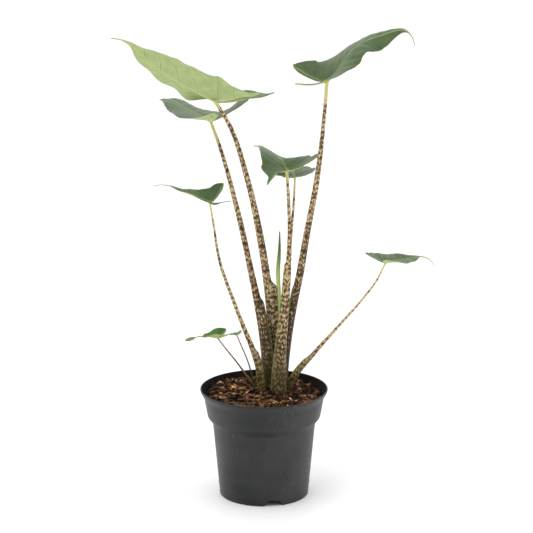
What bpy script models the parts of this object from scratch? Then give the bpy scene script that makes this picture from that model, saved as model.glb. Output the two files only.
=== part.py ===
"""A potted siberian tiger alocasia: striped stalks with arrow-shaped leaves in a dark nursery pot.

Metres, +Z up. While it is modelled, the pot's axis is the Z axis and the pot stands at height 0.
At the end everything is moved sideways, so that the origin lies under the middle of the whole plant.
"""

import math
from dataclasses import dataclass

import bmesh
import bpy
import numpy as np
from mathutils import Vector, noise

# Clearance between neighbouring pieces
GAP = 0.0003
SHARP_ANGLE = math.radians(40)

# Pot: a 17 cm nursery pot
POT_HEIGHT = 0.146
POT_WALL = 0.0014
RIM_RADIUS = 0.085
COLLAR_TOP = (0.0800, 0.1346)  # radius, height
COLLAR_FOOT = (0.0752, 0.1084)
BODY_TOP = (0.0685, 0.0996)
FOOT_RADIUS = 0.0592
FOOT_WIDTH = 0.0017
LIP_STEPS = 4
RIDGE_HEIGHT = 0.016
RIDGE_HALF_WIDTH = 0.0016
RIDGE_SIZE = 0.0005
FLOOR_HEIGHT = 0.0090
FLOOR_THICKNESS = 0.0015
POT_SIDES = 48
DRAIN_RADIUS = 0.0045
DRAIN_CIRCLE = 0.036
DRAIN_COUNT = 6
DRAIN_SIDES = 12
NOTCH_COUNT = 3
NOTCH_TURN = math.radians(12.4)  # the first notch, counted from the front of the pot
NOTCH_WIDE, NOTCH_NARROW, NOTCH_HEIGHT = 0.027, 0.0126, 0.0078
NOTCH_DEPTH = 0.012
NOTCH_ROUNDING = 0.0025

# Soil: bark and coir, heaped a little round the plant
SOIL_LEVEL = 0.1345
SOIL_HEAP = 0.0055
HEAP_CENTRE = (0.013, 0.024)
HEAP_RADIUS = 0.030
SOIL_LUMPS = 0.0016
SOIL_RINGS = 8
LUMP_COARSE, LUMP_FINE = 95, 210  # lumps to the metre
STALK_DEPTH = 0.022  # how deep a stalk stands in the soil
FOOT_TAPER = 0.92
HOLE_TOP = 0.03  # how far above the soil the holes' cutters reach
SLOPE_STEP = 0.002  # to either side of a ring, to find which way a stalk runs

# Sheath: the shoulder where the clasping part of a stalk ends
SHOULDER_LENGTH = 0.009
SHOULDER_ROWS = (0.0, 0.006)

# Blade: outline of one half of a leaf, along and across its midrib, for a blade 1 long
LOBE_LENGTH, HALF_WIDTH = 0.42, 0.36
SINUS = -0.03  # where the two rear lobes meet, just behind the stalk
OUTER_BACK = ((-0.42, 0.26), (-0.37, 0.31), (-0.25, 0.345), (-0.12, 0.358), (SINUS, HALF_WIDTH))
OUTER_FRONT = (
    (SINUS, HALF_WIDTH), (0.15, 0.345), (0.35, 0.30), (0.58, 0.22),
    (0.78, 0.125), (0.93, 0.045), (1.0, 0.012),
)
INNER = ((-0.42, 0.26), (-0.36, 0.17), (-0.20, 0.085), (-0.07, 0.014), (SINUS, 0.0))
BLADE_THICKNESS = 0.0008
RIB_THICKNESS = 0.0024
RIB_WIDTH = 0.0028
FULL_RIB = 0.037  # half width of the smallest blade whose midrib is as thick as that
RIB_TAPER = 0.75  # share of the midrib's extra thickness that is gone at the tip
LOBE_RIB = 0.5  # extra thickness of a rear lobe's rib, as a share of the midrib's
MOST_RIB_SHARE = 0.22  # of the half width, where the blade is narrow
COLUMNS = (0.42, 0.74, 1.0)  # shares of the way from the midrib to the margin
LOBE_MARGIN = 0.28  # share of the margin that belongs to the rear lobe
DRIP_ROWS = 3
STEEPEST_CUT = 0.4  # limits how far a stalk's end is slanted under its blade
CLIMB_PLACES = (-0.26, -0.04, 0.06, 0.3, 0.6, 0.9, 1.05, 1.25)
RISE_PLACES = (-0.42, -0.15, 0.0, 0.17, 0.35, 0.5, 0.68, 0.85)
FLAT_FROM = 0.88  # from here on the two halves turn flat, until they are one strip at the tip


@dataclass
class Stalk:
    """The route runs down from the blade; each point is x, y, z and the stalk's diameter."""

    route: tuple
    sides: int = 10
    rings: int = 16
    sheath: float = 0.0  # how far the sheath's edge stands out
    sheath_top: float = 0.0  # height of its shoulder
    sheath_facing: float = 0.0  # degrees, from +X towards +Y


@dataclass
class Blade:
    """Angles in degrees. Left is on the left hand of someone who looks along the midrib from above."""

    length: float
    half_width: float
    lobes: float  # length of the rear lobes
    heading: float  # of the midrib, from +X towards +Y
    climb: tuple  # of the midrib, at CLIMB_PLACES
    left_rise: tuple  # of the left half above the level, at RISE_PLACES
    right_rise: tuple
    wave: tuple  # height, count along the margin, phase of the left half, phase of the right half
    drip: float  # length of the drip tip
    drip_width: float = 0.0011
    drip_turn: float = 0.0
    spread: float = 0.0  # how much further apart the rear lobes stand
    slim: tuple = (0.0, 0.0)  # share by which the left and the right rear lobe are narrower
    rows: int = 14


STALKS = {
    "upper_left": Stalk(
        route=(
            (-0.0636, 0.0150, 0.5320, 0.0044), (-0.0480, 0.0166, 0.5050, 0.0053),
            (-0.0205, 0.0223, 0.4205, 0.0074), (-0.0070, 0.0270, 0.3573, 0.0092),
            (0.0028, 0.0330, 0.2952, 0.0106), (0.0102, 0.0402, 0.2300, 0.0134),
            (0.0105, 0.0435, 0.1380, 0.0154),
        ),
        rings=20, sheath=0.0030, sheath_top=0.285, sheath_facing=-30,
    ),
    "rear_left": Stalk(
        route=(
            (-0.0714, 0.0800, 0.4932, 0.0036), (-0.0642, 0.0770, 0.4739, 0.0042),
            (-0.0341, 0.0600, 0.3692, 0.0071), (-0.0165, 0.0420, 0.2915, 0.0087),
            (-0.0075, 0.0330, 0.2500, 0.0108), (0.0004, 0.0280, 0.2050, 0.0130),
            (0.0050, 0.0270, 0.1380, 0.0140),
        ),
        rings=18, sheath=0.0020, sheath_top=0.262, sheath_facing=-40,
    ),
    "upper_right": Stalk(
        route=(
            (0.0802, -0.0350, 0.5669, 0.0044), (0.0787, -0.0300, 0.5381, 0.0045),
            (0.0682, -0.0100, 0.4281, 0.0074), (0.0565, 0.0060, 0.3571, 0.0086),
            (0.0468, 0.0190, 0.2940, 0.0101), (0.0402, 0.0245, 0.2593, 0.0104),
            (0.0319, 0.0285, 0.2050, 0.0106), (0.0262, 0.0310, 0.1380, 0.0106),
        ),
        rings=20, sheath=0.0010, sheath_top=0.283, sheath_facing=215,
    ),
    "middle": Stalk(
        route=(
            (0.0298, 0.0150, 0.4402, 0.0039), (0.0322, 0.0141, 0.3995, 0.0043),
            (0.0336, 0.0131, 0.3592, 0.0050), (0.0312, 0.0116, 0.2936, 0.0085),
            (0.0272, 0.0105, 0.2441, 0.0108), (0.0227, 0.0093, 0.1941, 0.0140),
            (0.0205, 0.0080, 0.1380, 0.0195),
        ),
        rings=18, sheath=0.0017, sheath_top=0.318, sheath_facing=150,
    ),
    "lower_rear": Stalk(
        route=(
            (0.0410, 0.0600, 0.4215, 0.0026), (0.0398, 0.0560, 0.3891, 0.0031),
            (0.0373, 0.0500, 0.3592, 0.0034), (0.0305, 0.0400, 0.2708, 0.0042),
            (0.0268, 0.0405, 0.2000, 0.0046), (0.0245, 0.0415, 0.1380, 0.0046),
        ),
        sides=8, rings=12,
    ),
    "small_left": Stalk(
        route=(
            (-0.0699, -0.0250, 0.4058, 0.0022), (-0.0662, -0.0214, 0.3799, 0.0027),
            (-0.0583, -0.0134, 0.3253, 0.0038), (-0.0392, -0.0046, 0.2649, 0.0050),
            (-0.0284, 0.0000, 0.2338, 0.0058), (-0.0153, 0.0051, 0.1987, 0.0074),
            (-0.0068, 0.0090, 0.1700, 0.0092), (-0.0040, 0.0120, 0.1380, 0.0098),
        ),
        sides=8, rings=16, sheath=0.0018, sheath_top=0.199, sheath_facing=10,
    ),
    "small_right": Stalk(
        route=(
            (0.1573, -0.0500, 0.3315, 0.0020), (0.1467, -0.0414, 0.3058, 0.0024),
            (0.1249, -0.0294, 0.2719, 0.0031), (0.1000, -0.0178, 0.2391, 0.0038),
            (0.0660, -0.0019, 0.1942, 0.0060), (0.0418, 0.0102, 0.1600, 0.0078),
            (0.0330, 0.0175, 0.1380, 0.0084),
        ),
        sides=8, rings=14, sheath=0.0016, sheath_top=0.190, sheath_facing=170,
    ),
    "tiny_front": Stalk(
        route=(
            (-0.0598, -0.0450, 0.2284, 0.0020), (-0.0538, -0.0390, 0.2171, 0.0020),
            (-0.0361, -0.0179, 0.1872, 0.0023), (-0.0234, -0.0011, 0.1635, 0.0028),
            (-0.0130, 0.0170, 0.1380, 0.0032),
        ),
        sides=8, rings=8,
    ),
    "tiny_rear": Stalk(
        route=(
            (-0.0359, -0.0150, 0.2243, 0.0016), (-0.0188, 0.0213, 0.1668, 0.0020),
            (-0.0140, 0.0380, 0.1380, 0.0024),
        ),
        sides=8, rings=8,
    ),
}

BLADES = {
    "upper_left": Blade(
        length=0.142, half_width=0.050, lobes=0.072, heading=167,
        climb=(-11, 11, 22, 26, 33, 40, 12, -24),
        left_rise=(22, 46, 52, 48, 54, 57, 64, 50), right_rise=(2, 8, -2, -15, -33, -33, -43, -48),
        wave=(0.0014, 4.0, 0.1, 0.4), drip=0.020,
    ),
    "rear_left": Blade(
        length=0.145, half_width=0.047, lobes=0.058, heading=120,
        climb=(-20, -6, 2, 5, 7, -10, -12, -15),
        left_rise=(14, 18, 18, 14, 11, 12, 15, 15), right_rise=(38, 38, 25, 8, -3, -6, -3, 4),
        wave=(0.0015, 3.0, 0.2, 0.6), drip=0.018, drip_turn=-29,
    ),
    "upper_right": Blade(
        length=0.129, half_width=0.047, lobes=0.043, heading=3,
        climb=(-7, 18, 46, 53, 20, 4, -58, -105),
        left_rise=(22, 24, 20, 9, 2, -5, 3, 4), right_rise=(5, 17, 20, -2, -14, -6, -40, -32),
        wave=(0.0010, 3.0, 0.3, 0.0), drip=0.022,
    ),
    "middle": Blade(
        length=0.105, half_width=0.037, lobes=0.042, heading=108,
        climb=(-6, 10, 24, 6, 0, 1, -2, -2),
        left_rise=(-18, 12, 20, 24, 29, 26, 24, 20), right_rise=(38, 39, 34, 20, -20, -32, -35, -35),
        wave=(0.0010, 3.0, 0.2, 0.5), drip=0.011, drip_turn=55, spread=0.6, slim=(0.4, 0.25), rows=12,
    ),
    "lower_rear": Blade(
        length=0.070, half_width=0.029, lobes=0.028, heading=99,
        climb=(-4, 4, 8, 4, -4, -10, -30, -50),
        left_rise=(16, 12, 10, 6, 6, 6, 4, 4), right_rise=(30, 26, 22, 14, 8, 6, 4, 4),
        wave=(0.0008, 3.0, 0.2, 0.5), drip=0.008, rows=9,
    ),
    "small_left": Blade(
        length=0.060, half_width=0.024, lobes=0.024, heading=193,
        climb=(-10, 12, 24, 25, 23, 24, 12, -10),
        left_rise=(12, 13, 4, 3, 6, 6, 4, 0), right_rise=(64, 55, 42, 28, 13, 8, 6, 4),
        wave=(0.0008, 3.0, 0.2, 0.5), drip=0.020, spread=0.2, rows=10,
    ),
    "small_right": Blade(
        length=0.069, half_width=0.024, lobes=0.026, heading=45,
        climb=(-15, -8, -4, -5, -3, -3, -14, -55),
        left_rise=(34, 28, 20, 17, 17, 17, 20, 18), right_rise=(17, 14, 10, 6, 1, 0, 0, 0),
        wave=(0.0008, 3.0, 0.2, 0.5), drip=0.023, drip_turn=-45, spread=0.15, slim=(0.3, 0.0), rows=10,
    ),
    "tiny_front": Blade(
        length=0.022, half_width=0.0143, lobes=0.0130, heading=190,
        climb=(-6, 6, 12, 12, 8, 0, 6, -14),
        left_rise=(34, 34, 34, 34, 34, 30, 20, 10), right_rise=(58, 57, 54, 46, 35, 24, 18, 10),
        wave=(0.0003, 2.0, 0.2, 0.5), drip=0.023, drip_width=0.0022, rows=7,
    ),
    "tiny_rear": Blade(
        length=0.012, half_width=0.0055, lobes=0.0075, heading=180,
        climb=(-25, -3, 8, 5, 0, -5, -20, -30),
        left_rise=(28, 14, 10, 8, 8, 6, 4, 4), right_rise=(28, 14, 10, 8, 8, 6, 4, 4),
        wave=(0.0003, 2.0, 0.2, 0.5), drip=0.003, rows=6,
    ),
}

SPEAR = Stalk(
    route=(
        (0.0207, 0.0220, 0.3550, 0.0008), (0.0203, 0.0224, 0.3300, 0.0040),
        (0.0185, 0.0230, 0.3000, 0.0060), (0.0180, 0.0238, 0.2570, 0.0064),
        (0.0172, 0.0242, 0.2000, 0.0058), (0.0170, 0.0236, 0.1380, 0.0052),
    ),
    sides=8, rings=12,
)


def through(places, values, at):
    """Value at one place of the smooth curve through values that are set at rising places."""
    places, values = np.asarray(places, float), np.asarray(values, float)
    slopes = np.gradient(values, places, axis=0)
    at = min(max(at, places[0]), places[-1])
    k = min(int(np.searchsorted(places, at, side="right")) - 1, len(places) - 2)
    span = places[k + 1] - places[k]
    t = (at - places[k]) / span
    start = (2 * t**3 - 3 * t**2 + 1) * values[k] + (t**3 - 2 * t**2 + t) * span * slopes[k]
    end = (3 * t**2 - 2 * t**3) * values[k + 1] + (t**3 - t**2) * span * slopes[k + 1]
    return start + end


def smoothstep(t):
    t = min(max(t, 0.0), 1.0)
    return t * t * (3 - 2 * t)


def make_material(name, colour, roughness):
    material = bpy.data.materials.new(name)
    material.use_nodes = True
    shader = material.node_tree.nodes["Principled BSDF"]
    shader.inputs["Base Color"].default_value = (*colour, 1)
    shader.inputs["Roughness"].default_value = roughness
    shader.inputs["Metallic"].default_value = 0
    return material


def add_mesh(name, points, faces, collection, material=None, smooth=True):
    mesh = bpy.data.meshes.new(name)
    mesh.from_pydata([tuple(p) for p in points], [], faces)
    bm = bmesh.new()
    bm.from_mesh(mesh)
    bmesh.ops.remove_doubles(bm, verts=bm.verts, dist=1e-6)
    bm.to_mesh(mesh)
    bm.free()
    if smooth:
        mesh.shade_smooth()
        mesh.set_sharp_from_angle(angle=SHARP_ANGLE)
    piece = bpy.data.objects.new(name, mesh)
    collection.objects.link(piece)
    if material:
        mesh.materials.append(material)
    return piece


def as_cutter(piece):
    piece.hide_render = True
    piece.display_type = "WIRE"
    return piece


def cut(piece, cutters):
    boolean = piece.modifiers.new("holes", "BOOLEAN")
    boolean.operation = "DIFFERENCE"
    boolean.operand_type = "COLLECTION"
    boolean.collection = cutters
    boolean.solver = "EXACT"


# Pot


def wall_radius(height):
    """Outer radius of the pot's wall, below its rim."""
    places = (0.0, BODY_TOP[1], COLLAR_FOOT[1], COLLAR_TOP[1], POT_HEIGHT)
    radii = (FOOT_RADIUS, BODY_TOP[0], COLLAR_FOOT[0], COLLAR_TOP[0], RIM_RADIUS)
    return float(np.interp(height, places, radii))


def pot_profile():
    """Radius and height, from the middle of the floor up the inside, over the rim and down the outside."""
    floor_top = FLOOR_HEIGHT + FLOOR_THICKNESS
    inner_heights = (floor_top, BODY_TOP[1], COLLAR_FOOT[1], COLLAR_TOP[1])
    profile = [(0.0, floor_top)] + [(wall_radius(z) - POT_WALL, z) for z in inner_heights]
    lip = POT_WALL / 2
    for k in range(LIP_STEPS + 1):
        turn = math.pi * (1 - k / LIP_STEPS)
        profile.append((RIM_RADIUS - lip + lip * math.cos(turn), POT_HEIGHT - lip + lip * math.sin(turn)))
    profile += [COLLAR_TOP, COLLAR_FOOT, BODY_TOP]
    for rise, proud in ((RIDGE_HALF_WIDTH, 0.0), (0.0, RIDGE_SIZE), (-RIDGE_HALF_WIDTH, 0.0)):
        height = RIDGE_HEIGHT + rise
        profile.append((wall_radius(height) + proud, height))
    profile += [(FOOT_RADIUS, 0.0), (FOOT_RADIUS - FOOT_WIDTH, 0.0)]
    profile += [(wall_radius(FLOOR_HEIGHT) - FOOT_WIDTH, FLOOR_HEIGHT), (0.0, FLOOR_HEIGHT)]
    return profile


def make_pot(collection, cutters):
    mesh = bpy.data.meshes.new("pot")
    profile = pot_profile()
    edges = [(k, k + 1) for k in range(len(profile) - 1)]
    mesh.from_pydata([(r, 0, z) for r, z in profile], edges, [])
    mesh.materials.append(make_material("dark_plastic", (0.045, 0.048, 0.048), 0.45))
    pot = bpy.data.objects.new("pot", mesh)
    collection.objects.link(pot)
    screw = pot.modifiers.new("turn", "SCREW")
    screw.steps = screw.render_steps = POT_SIDES
    screw.use_merge_vertices = True
    screw.merge_threshold = 0.0001
    screw.use_normal_calculate = False
    screw.use_smooth_shade = True

    for k in range(NOTCH_COUNT):
        turn = NOTCH_TURN + k * math.tau / NOTCH_COUNT
        bm = bmesh.new()
        bmesh.ops.create_cube(bm, size=1)
        for v in bm.verts:
            v.co.x *= NOTCH_NARROW if v.co.z > 0 else 2 * NOTCH_WIDE - NOTCH_NARROW
            v.co.z = NOTCH_HEIGHT if v.co.z > 0 else -NOTCH_HEIGHT
            v.co.y *= NOTCH_DEPTH
        top = [
            e for e in bm.edges
            if all(v.co.z > 0 for v in e.verts) and e.verts[0].co.y != e.verts[1].co.y
        ]
        bmesh.ops.bevel(bm, geom=top, offset=NOTCH_ROUNDING, segments=3, affect="EDGES", profile=0.5)
        notch_mesh = bpy.data.meshes.new("notch")
        bm.to_mesh(notch_mesh)
        bm.free()
        notch = bpy.data.objects.new(f"notch_{k + 1}", notch_mesh)
        notch.location = (FOOT_RADIUS * math.sin(turn), -FOOT_RADIUS * math.cos(turn), 0)
        notch.rotation_euler.z = turn
        cutters.objects.link(as_cutter(notch))

    for k in range(DRAIN_COUNT):
        turn = math.tau * k / DRAIN_COUNT
        bpy.ops.mesh.primitive_cylinder_add(
            vertices=DRAIN_SIDES, radius=DRAIN_RADIUS, depth=4 * FLOOR_THICKNESS,
            location=(DRAIN_CIRCLE * math.cos(turn), DRAIN_CIRCLE * math.sin(turn), FLOOR_HEIGHT),
        )
        drain = as_cutter(bpy.context.object)
        drain.name = f"drain_{k + 1}"
        for holder in list(drain.users_collection):
            holder.objects.unlink(drain)
        cutters.objects.link(drain)
    cut(pot, cutters)
    return pot


# Stalks


def loft(rings):
    """Points and triangles of a closed tube over rings of equal count, first ring at the bottom."""
    points, faces = [], []
    sides = len(rings[0])
    for ring in rings:
        points += list(ring)
    for k in range(len(rings) - 1):
        for i in range(sides):
            a, b = k * sides + i, k * sides + (i + 1) % sides
            faces += [(a, b, b + sides), (a, b + sides, a + sides)]
    for row, flip in ((0, True), (len(rings) - 1, False)):
        centre = len(points)
        points.append(np.mean(rings[row], axis=0))
        for i in range(sides):
            a, b = row * sides + i, row * sides + (i + 1) % sides
            faces.append((b, a, centre) if flip else (a, b, centre))
    return points, faces


def stalk_rings(stalk, extra=0.0, top_plane=None):
    """Rings of a stalk from its foot in the soil up to its blade. top_plane is a point and a normal."""
    route = np.array(stalk.route, float)[::-1]
    foot = route[0].copy()
    foot[2] -= STALK_DEPTH
    foot[3] *= FOOT_TAPER
    route = np.vstack([foot, route])
    reach = np.concatenate([[0], np.cumsum(np.linalg.norm(np.diff(route[:, :3], axis=0), axis=1))])
    if top_plane is not None:
        route[-1, :3] = top_plane[0]
    rings = []
    places = np.linspace(0, reach[-1], stalk.rings)
    if stalk.sheath:
        fine = np.linspace(0, reach[-1], 400)
        shoulder = np.interp(stalk.sheath_top, [through(reach, route[:, 2], s) for s in fine], fine)
        places = np.sort(np.concatenate([places, [shoulder - below for below in SHOULDER_ROWS]]))
    for s in places:
        x, y, z, thick = through(reach, route, s)
        above = through(reach, route, min(s + SLOPE_STEP, reach[-1]))
        below = through(reach, route, max(s - SLOPE_STEP, 0))
        ahead = (above - below)[:3]
        ahead /= np.linalg.norm(ahead)
        side = np.cross([0.0, 1.0, 0.0], ahead)
        side /= np.linalg.norm(side)
        back = np.cross(ahead, side)
        facing = math.radians(stalk.sheath_facing)
        swell = stalk.sheath * smoothstep((stalk.sheath_top - z) / SHOULDER_LENGTH)
        ring = []
        for i in range(stalk.sides):
            turn = math.tau * i / stalk.sides
            out = math.cos(turn) * side + math.sin(turn) * back
            radius = thick / 2 + swell * max(0.0, math.cos(turn - facing)) ** 1.5 + extra
            ring.append(np.array([x, y, z]) + radius * out)
        rings.append(ring)
    if top_plane is not None:
        centre, normal = (np.asarray(v, float) for v in top_plane)
        lean = float(np.dot(ahead, normal))
        lean = math.copysign(max(abs(lean), STEEPEST_CUT), lean)
        rings[-1] = [p - ahead * (np.dot(p - centre, normal) / lean) for p in rings[-1]]
    return rings


def make_stalk(name, stalk, collection, material, top_plane):
    points, faces = loft(stalk_rings(stalk, top_plane=top_plane))
    return add_mesh(name, points, faces, collection, material)


# Blades


class Midrib:
    """The line that a blade is bent along, with its frame: ahead, to the left and up."""

    STEP = 0.01

    def __init__(self, blade, attach):
        self.blade = blade
        self.places = np.arange(-0.8, 1.1 + blade.drip / blade.length, self.STEP)
        directions = np.array([self.frame(p)[0] for p in self.places + self.STEP / 2])
        line = np.vstack([[0, 0, 0], np.cumsum(directions[:-1] * self.STEP * blade.length, axis=0)])
        start = np.array([np.interp(0.0, self.places, line[:, k]) for k in range(3)])
        self.line = line - start + np.array(attach)

    def frame(self, p):
        blade = self.blade
        climb = math.radians(through(CLIMB_PLACES, blade.climb, p))
        heading = math.radians(blade.heading + blade.drip_turn * smoothstep((p - 0.92) / 0.12))
        level = math.cos(climb)
        ahead = np.array([math.cos(heading) * level, math.sin(heading) * level, math.sin(climb)])
        left = np.array([-math.sin(heading), math.cos(heading), 0.0])
        return ahead, left, np.cross(ahead, left)

    def rise(self, p, hand):
        left = math.radians(through(RISE_PLACES, self.blade.left_rise, p))
        right = math.radians(through(RISE_PLACES, self.blade.right_rise, p))
        own = left if hand > 0 else right
        flat = hand * (left - right) / 2
        return own + (flat - own) * smoothstep((p - FLAT_FROM) / (1 - FLAT_FROM))

    def normal(self, p):
        ahead, left, up = self.frame(p)
        roll = (self.rise(p, 1) - self.rise(p, -1)) / 2
        return up * math.cos(roll) - left * math.sin(roll)

    def point(self, p, across, hand, lift=0.0):
        """Point of the upper face, across metres out from the midrib; hand is 1 on the left and -1 right."""
        ahead, left, up = self.frame(p)
        angle = self.rise(p, hand)
        base = np.array([np.interp(p, self.places, self.line[:, k]) for k in range(3)])
        return base + hand * left * across * math.cos(angle) + up * (across * math.sin(angle) + lift)


def half_rows(blade, hand):
    """Flat rows of one half: along (in lengths), across (metres), share of the way to the margin, place."""
    wide = blade.half_width / HALF_WIDTH
    slim = blade.slim[0] if hand > 0 else blade.slim[1]
    deep = blade.lobes / blade.length / LOBE_LENGTH

    def scaled(point):
        along, across = point
        behind = max(SINUS - along, 0.0)
        kept = 1 - slim * smoothstep(behind / 0.3)
        return along - behind * (deep - 1), (across * kept + behind * blade.spread) * wide

    rows = []
    ends = np.linspace(0, 1, len(OUTER_BACK))
    tip = np.array(OUTER_BACK[0])
    root = np.array((SINUS, 0.0))
    lobe_rows = blade.rows * 3 // 7
    for k in range(lobe_rows):
        t = k / lobe_rows
        outer = through(ends, OUTER_BACK, t)
        inner = through(ends, INNER, t)
        costa = tip * (1 - t) + root * t
        row = []
        for share in (1.0, 0.5):
            row.append((*scaled(costa + (inner - costa) * share), -share, LOBE_MARGIN * t))
        shares = near_rib_shares(np.linalg.norm(outer - costa) * blade.length)
        for share in shares:
            row.append((*scaled(costa + (outer - costa) * share), share, LOBE_MARGIN * t))
        rows.append(row)
    along_list, across_list = zip(*OUTER_FRONT)
    for k in range(blade.rows + 1):
        x = k / blade.rows
        p = SINUS + (1 - SINUS) * x * (1.3 - 0.3 * x)
        outer = max(through(along_list, across_list, p) * wide, blade.drip_width)
        shares = near_rib_shares(outer)
        place = LOBE_MARGIN + (1 - LOBE_MARGIN) * max(p, 0)
        rows.append([(p, outer * share, share, place) for share in shares])
    for k in range(1, DRIP_ROWS + 1):
        p = 1 + blade.drip / blade.length * k / DRIP_ROWS
        width = blade.drip_width * (1 - 0.55 * (k / DRIP_ROWS) ** 2)
        rows.append([(p, width * share, share, 1.0) for share in near_rib_shares(width)])
    return rows


def rib_share(blade):
    """Share of the full midrib's extra thickness that this blade has."""
    return min(1.0, blade.half_width / FULL_RIB)


def near_rib_shares(width):
    return (0.0, min(MOST_RIB_SHARE, RIB_WIDTH / 2 / max(width, BLADE_THICKNESS)), *COLUMNS)


def blade_surface(blade, midrib):
    """Points, triangles and rib weights of the open upper face."""
    points, faces, weights = [], [], []
    height, count, *phases = blade.wave
    rib = rib_share(blade)
    for hand, phase in ((1, phases[0]), (-1, phases[1])):
        previous = None
        for row in half_rows(blade, hand):
            here = []
            for along, across, share, place in row:
                calm = math.sin(math.pi * min(place, 1.0)) ** 0.6 if 0 < place < 1 else 0.0
                lift = height * calm * math.sin(math.tau * (count * place + phase)) * max(share, 0) ** 1.6
                here.append(len(points))
                points.append(midrib.point(along, across, hand, lift))
                thick = max(0.0, 1 - RIB_TAPER * abs(along)) * (LOBE_RIB if along < SINUS else 1.0)
                weights.append(rib * thick if share == 0 else 0.0)
            if previous:
                if len(previous) > len(here):
                    # A lobe row has two points more, on the side of the sinus
                    faces += fan(previous[:3], here[0], hand)
                    previous = previous[2:]
                for i in range(len(here) - 1):
                    quad = (previous[i], here[i], here[i + 1], previous[i + 1])
                    if hand < 0:
                        quad = quad[::-1]
                    faces += [(quad[0], quad[1], quad[2]), (quad[0], quad[2], quad[3])]
            previous = here
    return points, faces, weights


def fan(edge, apex, hand):
    """Triangles from the inner end of the last lobe row to the point where the lobes meet."""
    made = [(edge[i], apex, edge[i + 1]) for i in range(len(edge) - 1)]
    return [f if hand > 0 else f[::-1] for f in made]


def make_blade(name, blade, attach, collection, material):
    """Adds the blade, and returns the plane its stalk ends at: a point and a normal."""
    midrib = Midrib(blade, attach)
    points, faces, weights = blade_surface(blade, midrib)
    mesh = bpy.data.meshes.new(name)
    mesh.from_pydata([tuple(p) for p in points], [], faces)
    mesh.materials.append(material)
    piece = bpy.data.objects.new(name, mesh)
    collection.objects.link(piece)
    ribs = piece.vertex_groups.new(name="ribs")
    for k, weight in enumerate(weights):
        ribs.add([k], weight, "REPLACE")
    bm = bmesh.new()
    bm.from_mesh(mesh)
    bmesh.ops.remove_doubles(bm, verts=bm.verts, dist=1e-5)
    bmesh.ops.dissolve_degenerate(bm, edges=bm.edges, dist=1e-6)
    bm.to_mesh(mesh)
    bm.free()
    solid = piece.modifiers.new("thickness", "SOLIDIFY")
    solid.thickness = RIB_THICKNESS
    solid.offset = -1
    solid.use_even_offset = False
    solid.vertex_group = "ribs"
    solid.thickness_vertex_group = BLADE_THICKNESS / RIB_THICKNESS
    mesh.shade_smooth()
    up = midrib.normal(0.0)
    rib = BLADE_THICKNESS + (RIB_THICKNESS - BLADE_THICKNESS) * rib_share(blade)
    return np.array(attach) - up * (rib + GAP), up


# Soil


def soil_height(x, y):
    heap = math.exp(-((x - HEAP_CENTRE[0]) ** 2 + (y - HEAP_CENTRE[1]) ** 2) / HEAP_RADIUS**2)
    coarse = noise.noise(Vector((x, y, 0.3)) * LUMP_COARSE)
    fine = noise.noise(Vector((x, y, 7.1)) * LUMP_FINE)
    return SOIL_LEVEL + SOIL_HEAP * heap + SOIL_LUMPS * (coarse + 0.6 * fine)


def make_soil(collection, holes):
    floor_top = FLOOR_HEIGHT + FLOOR_THICKNESS + GAP
    rings = []
    turns = [math.tau * i / POT_SIDES for i in range(POT_SIDES)]
    for height in (floor_top, BODY_TOP[1], COLLAR_FOOT[1]):
        radius = wall_radius(height) - POT_WALL - GAP
        rings.append([(radius * math.cos(a), radius * math.sin(a), height) for a in turns])
    for k in range(SOIL_RINGS):
        ring = []
        for a in turns:
            radius = wall_radius(SOIL_LEVEL) - POT_WALL - GAP
            height = soil_height(radius * math.cos(a), radius * math.sin(a))
            radius = (wall_radius(height) - POT_WALL - 2 * GAP) * (1 - k / SOIL_RINGS)
            x, y = radius * math.cos(a), radius * math.sin(a)
            ring.append((x, y, soil_height(x, y) if k else height))
        rings.append(ring)
    points, faces = loft([np.array(ring) for ring in rings])
    bark = make_material("bark_and_coir", (0.11, 0.055, 0.03), 0.95)
    soil = add_mesh("soil", points, faces, collection, bark, False)
    cut(soil, holes)
    return soil


def collect(name):
    collection = bpy.data.collections.new(name)
    bpy.context.scene.collection.children.link(collection)
    return collection


def centre_over_origin(pieces, moved):
    """Moves everything sideways until the middle of the finished pieces lies over the origin."""
    corners = []
    depsgraph = bpy.context.evaluated_depsgraph_get()
    for piece in pieces:
        mesh = piece.evaluated_get(depsgraph).to_mesh()
        points = np.empty(len(mesh.vertices) * 3)
        mesh.vertices.foreach_get("co", points)
        corners += [points.reshape(-1, 3).min(axis=0), points.reshape(-1, 3).max(axis=0)]
    corners = np.array(corners)
    middle = (corners.min(axis=0) + corners.max(axis=0)) / 2
    print("pot axis stands at", -middle[:2])
    for piece in moved:
        piece.location.x -= middle[0]
        piece.location.y -= middle[1]


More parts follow.
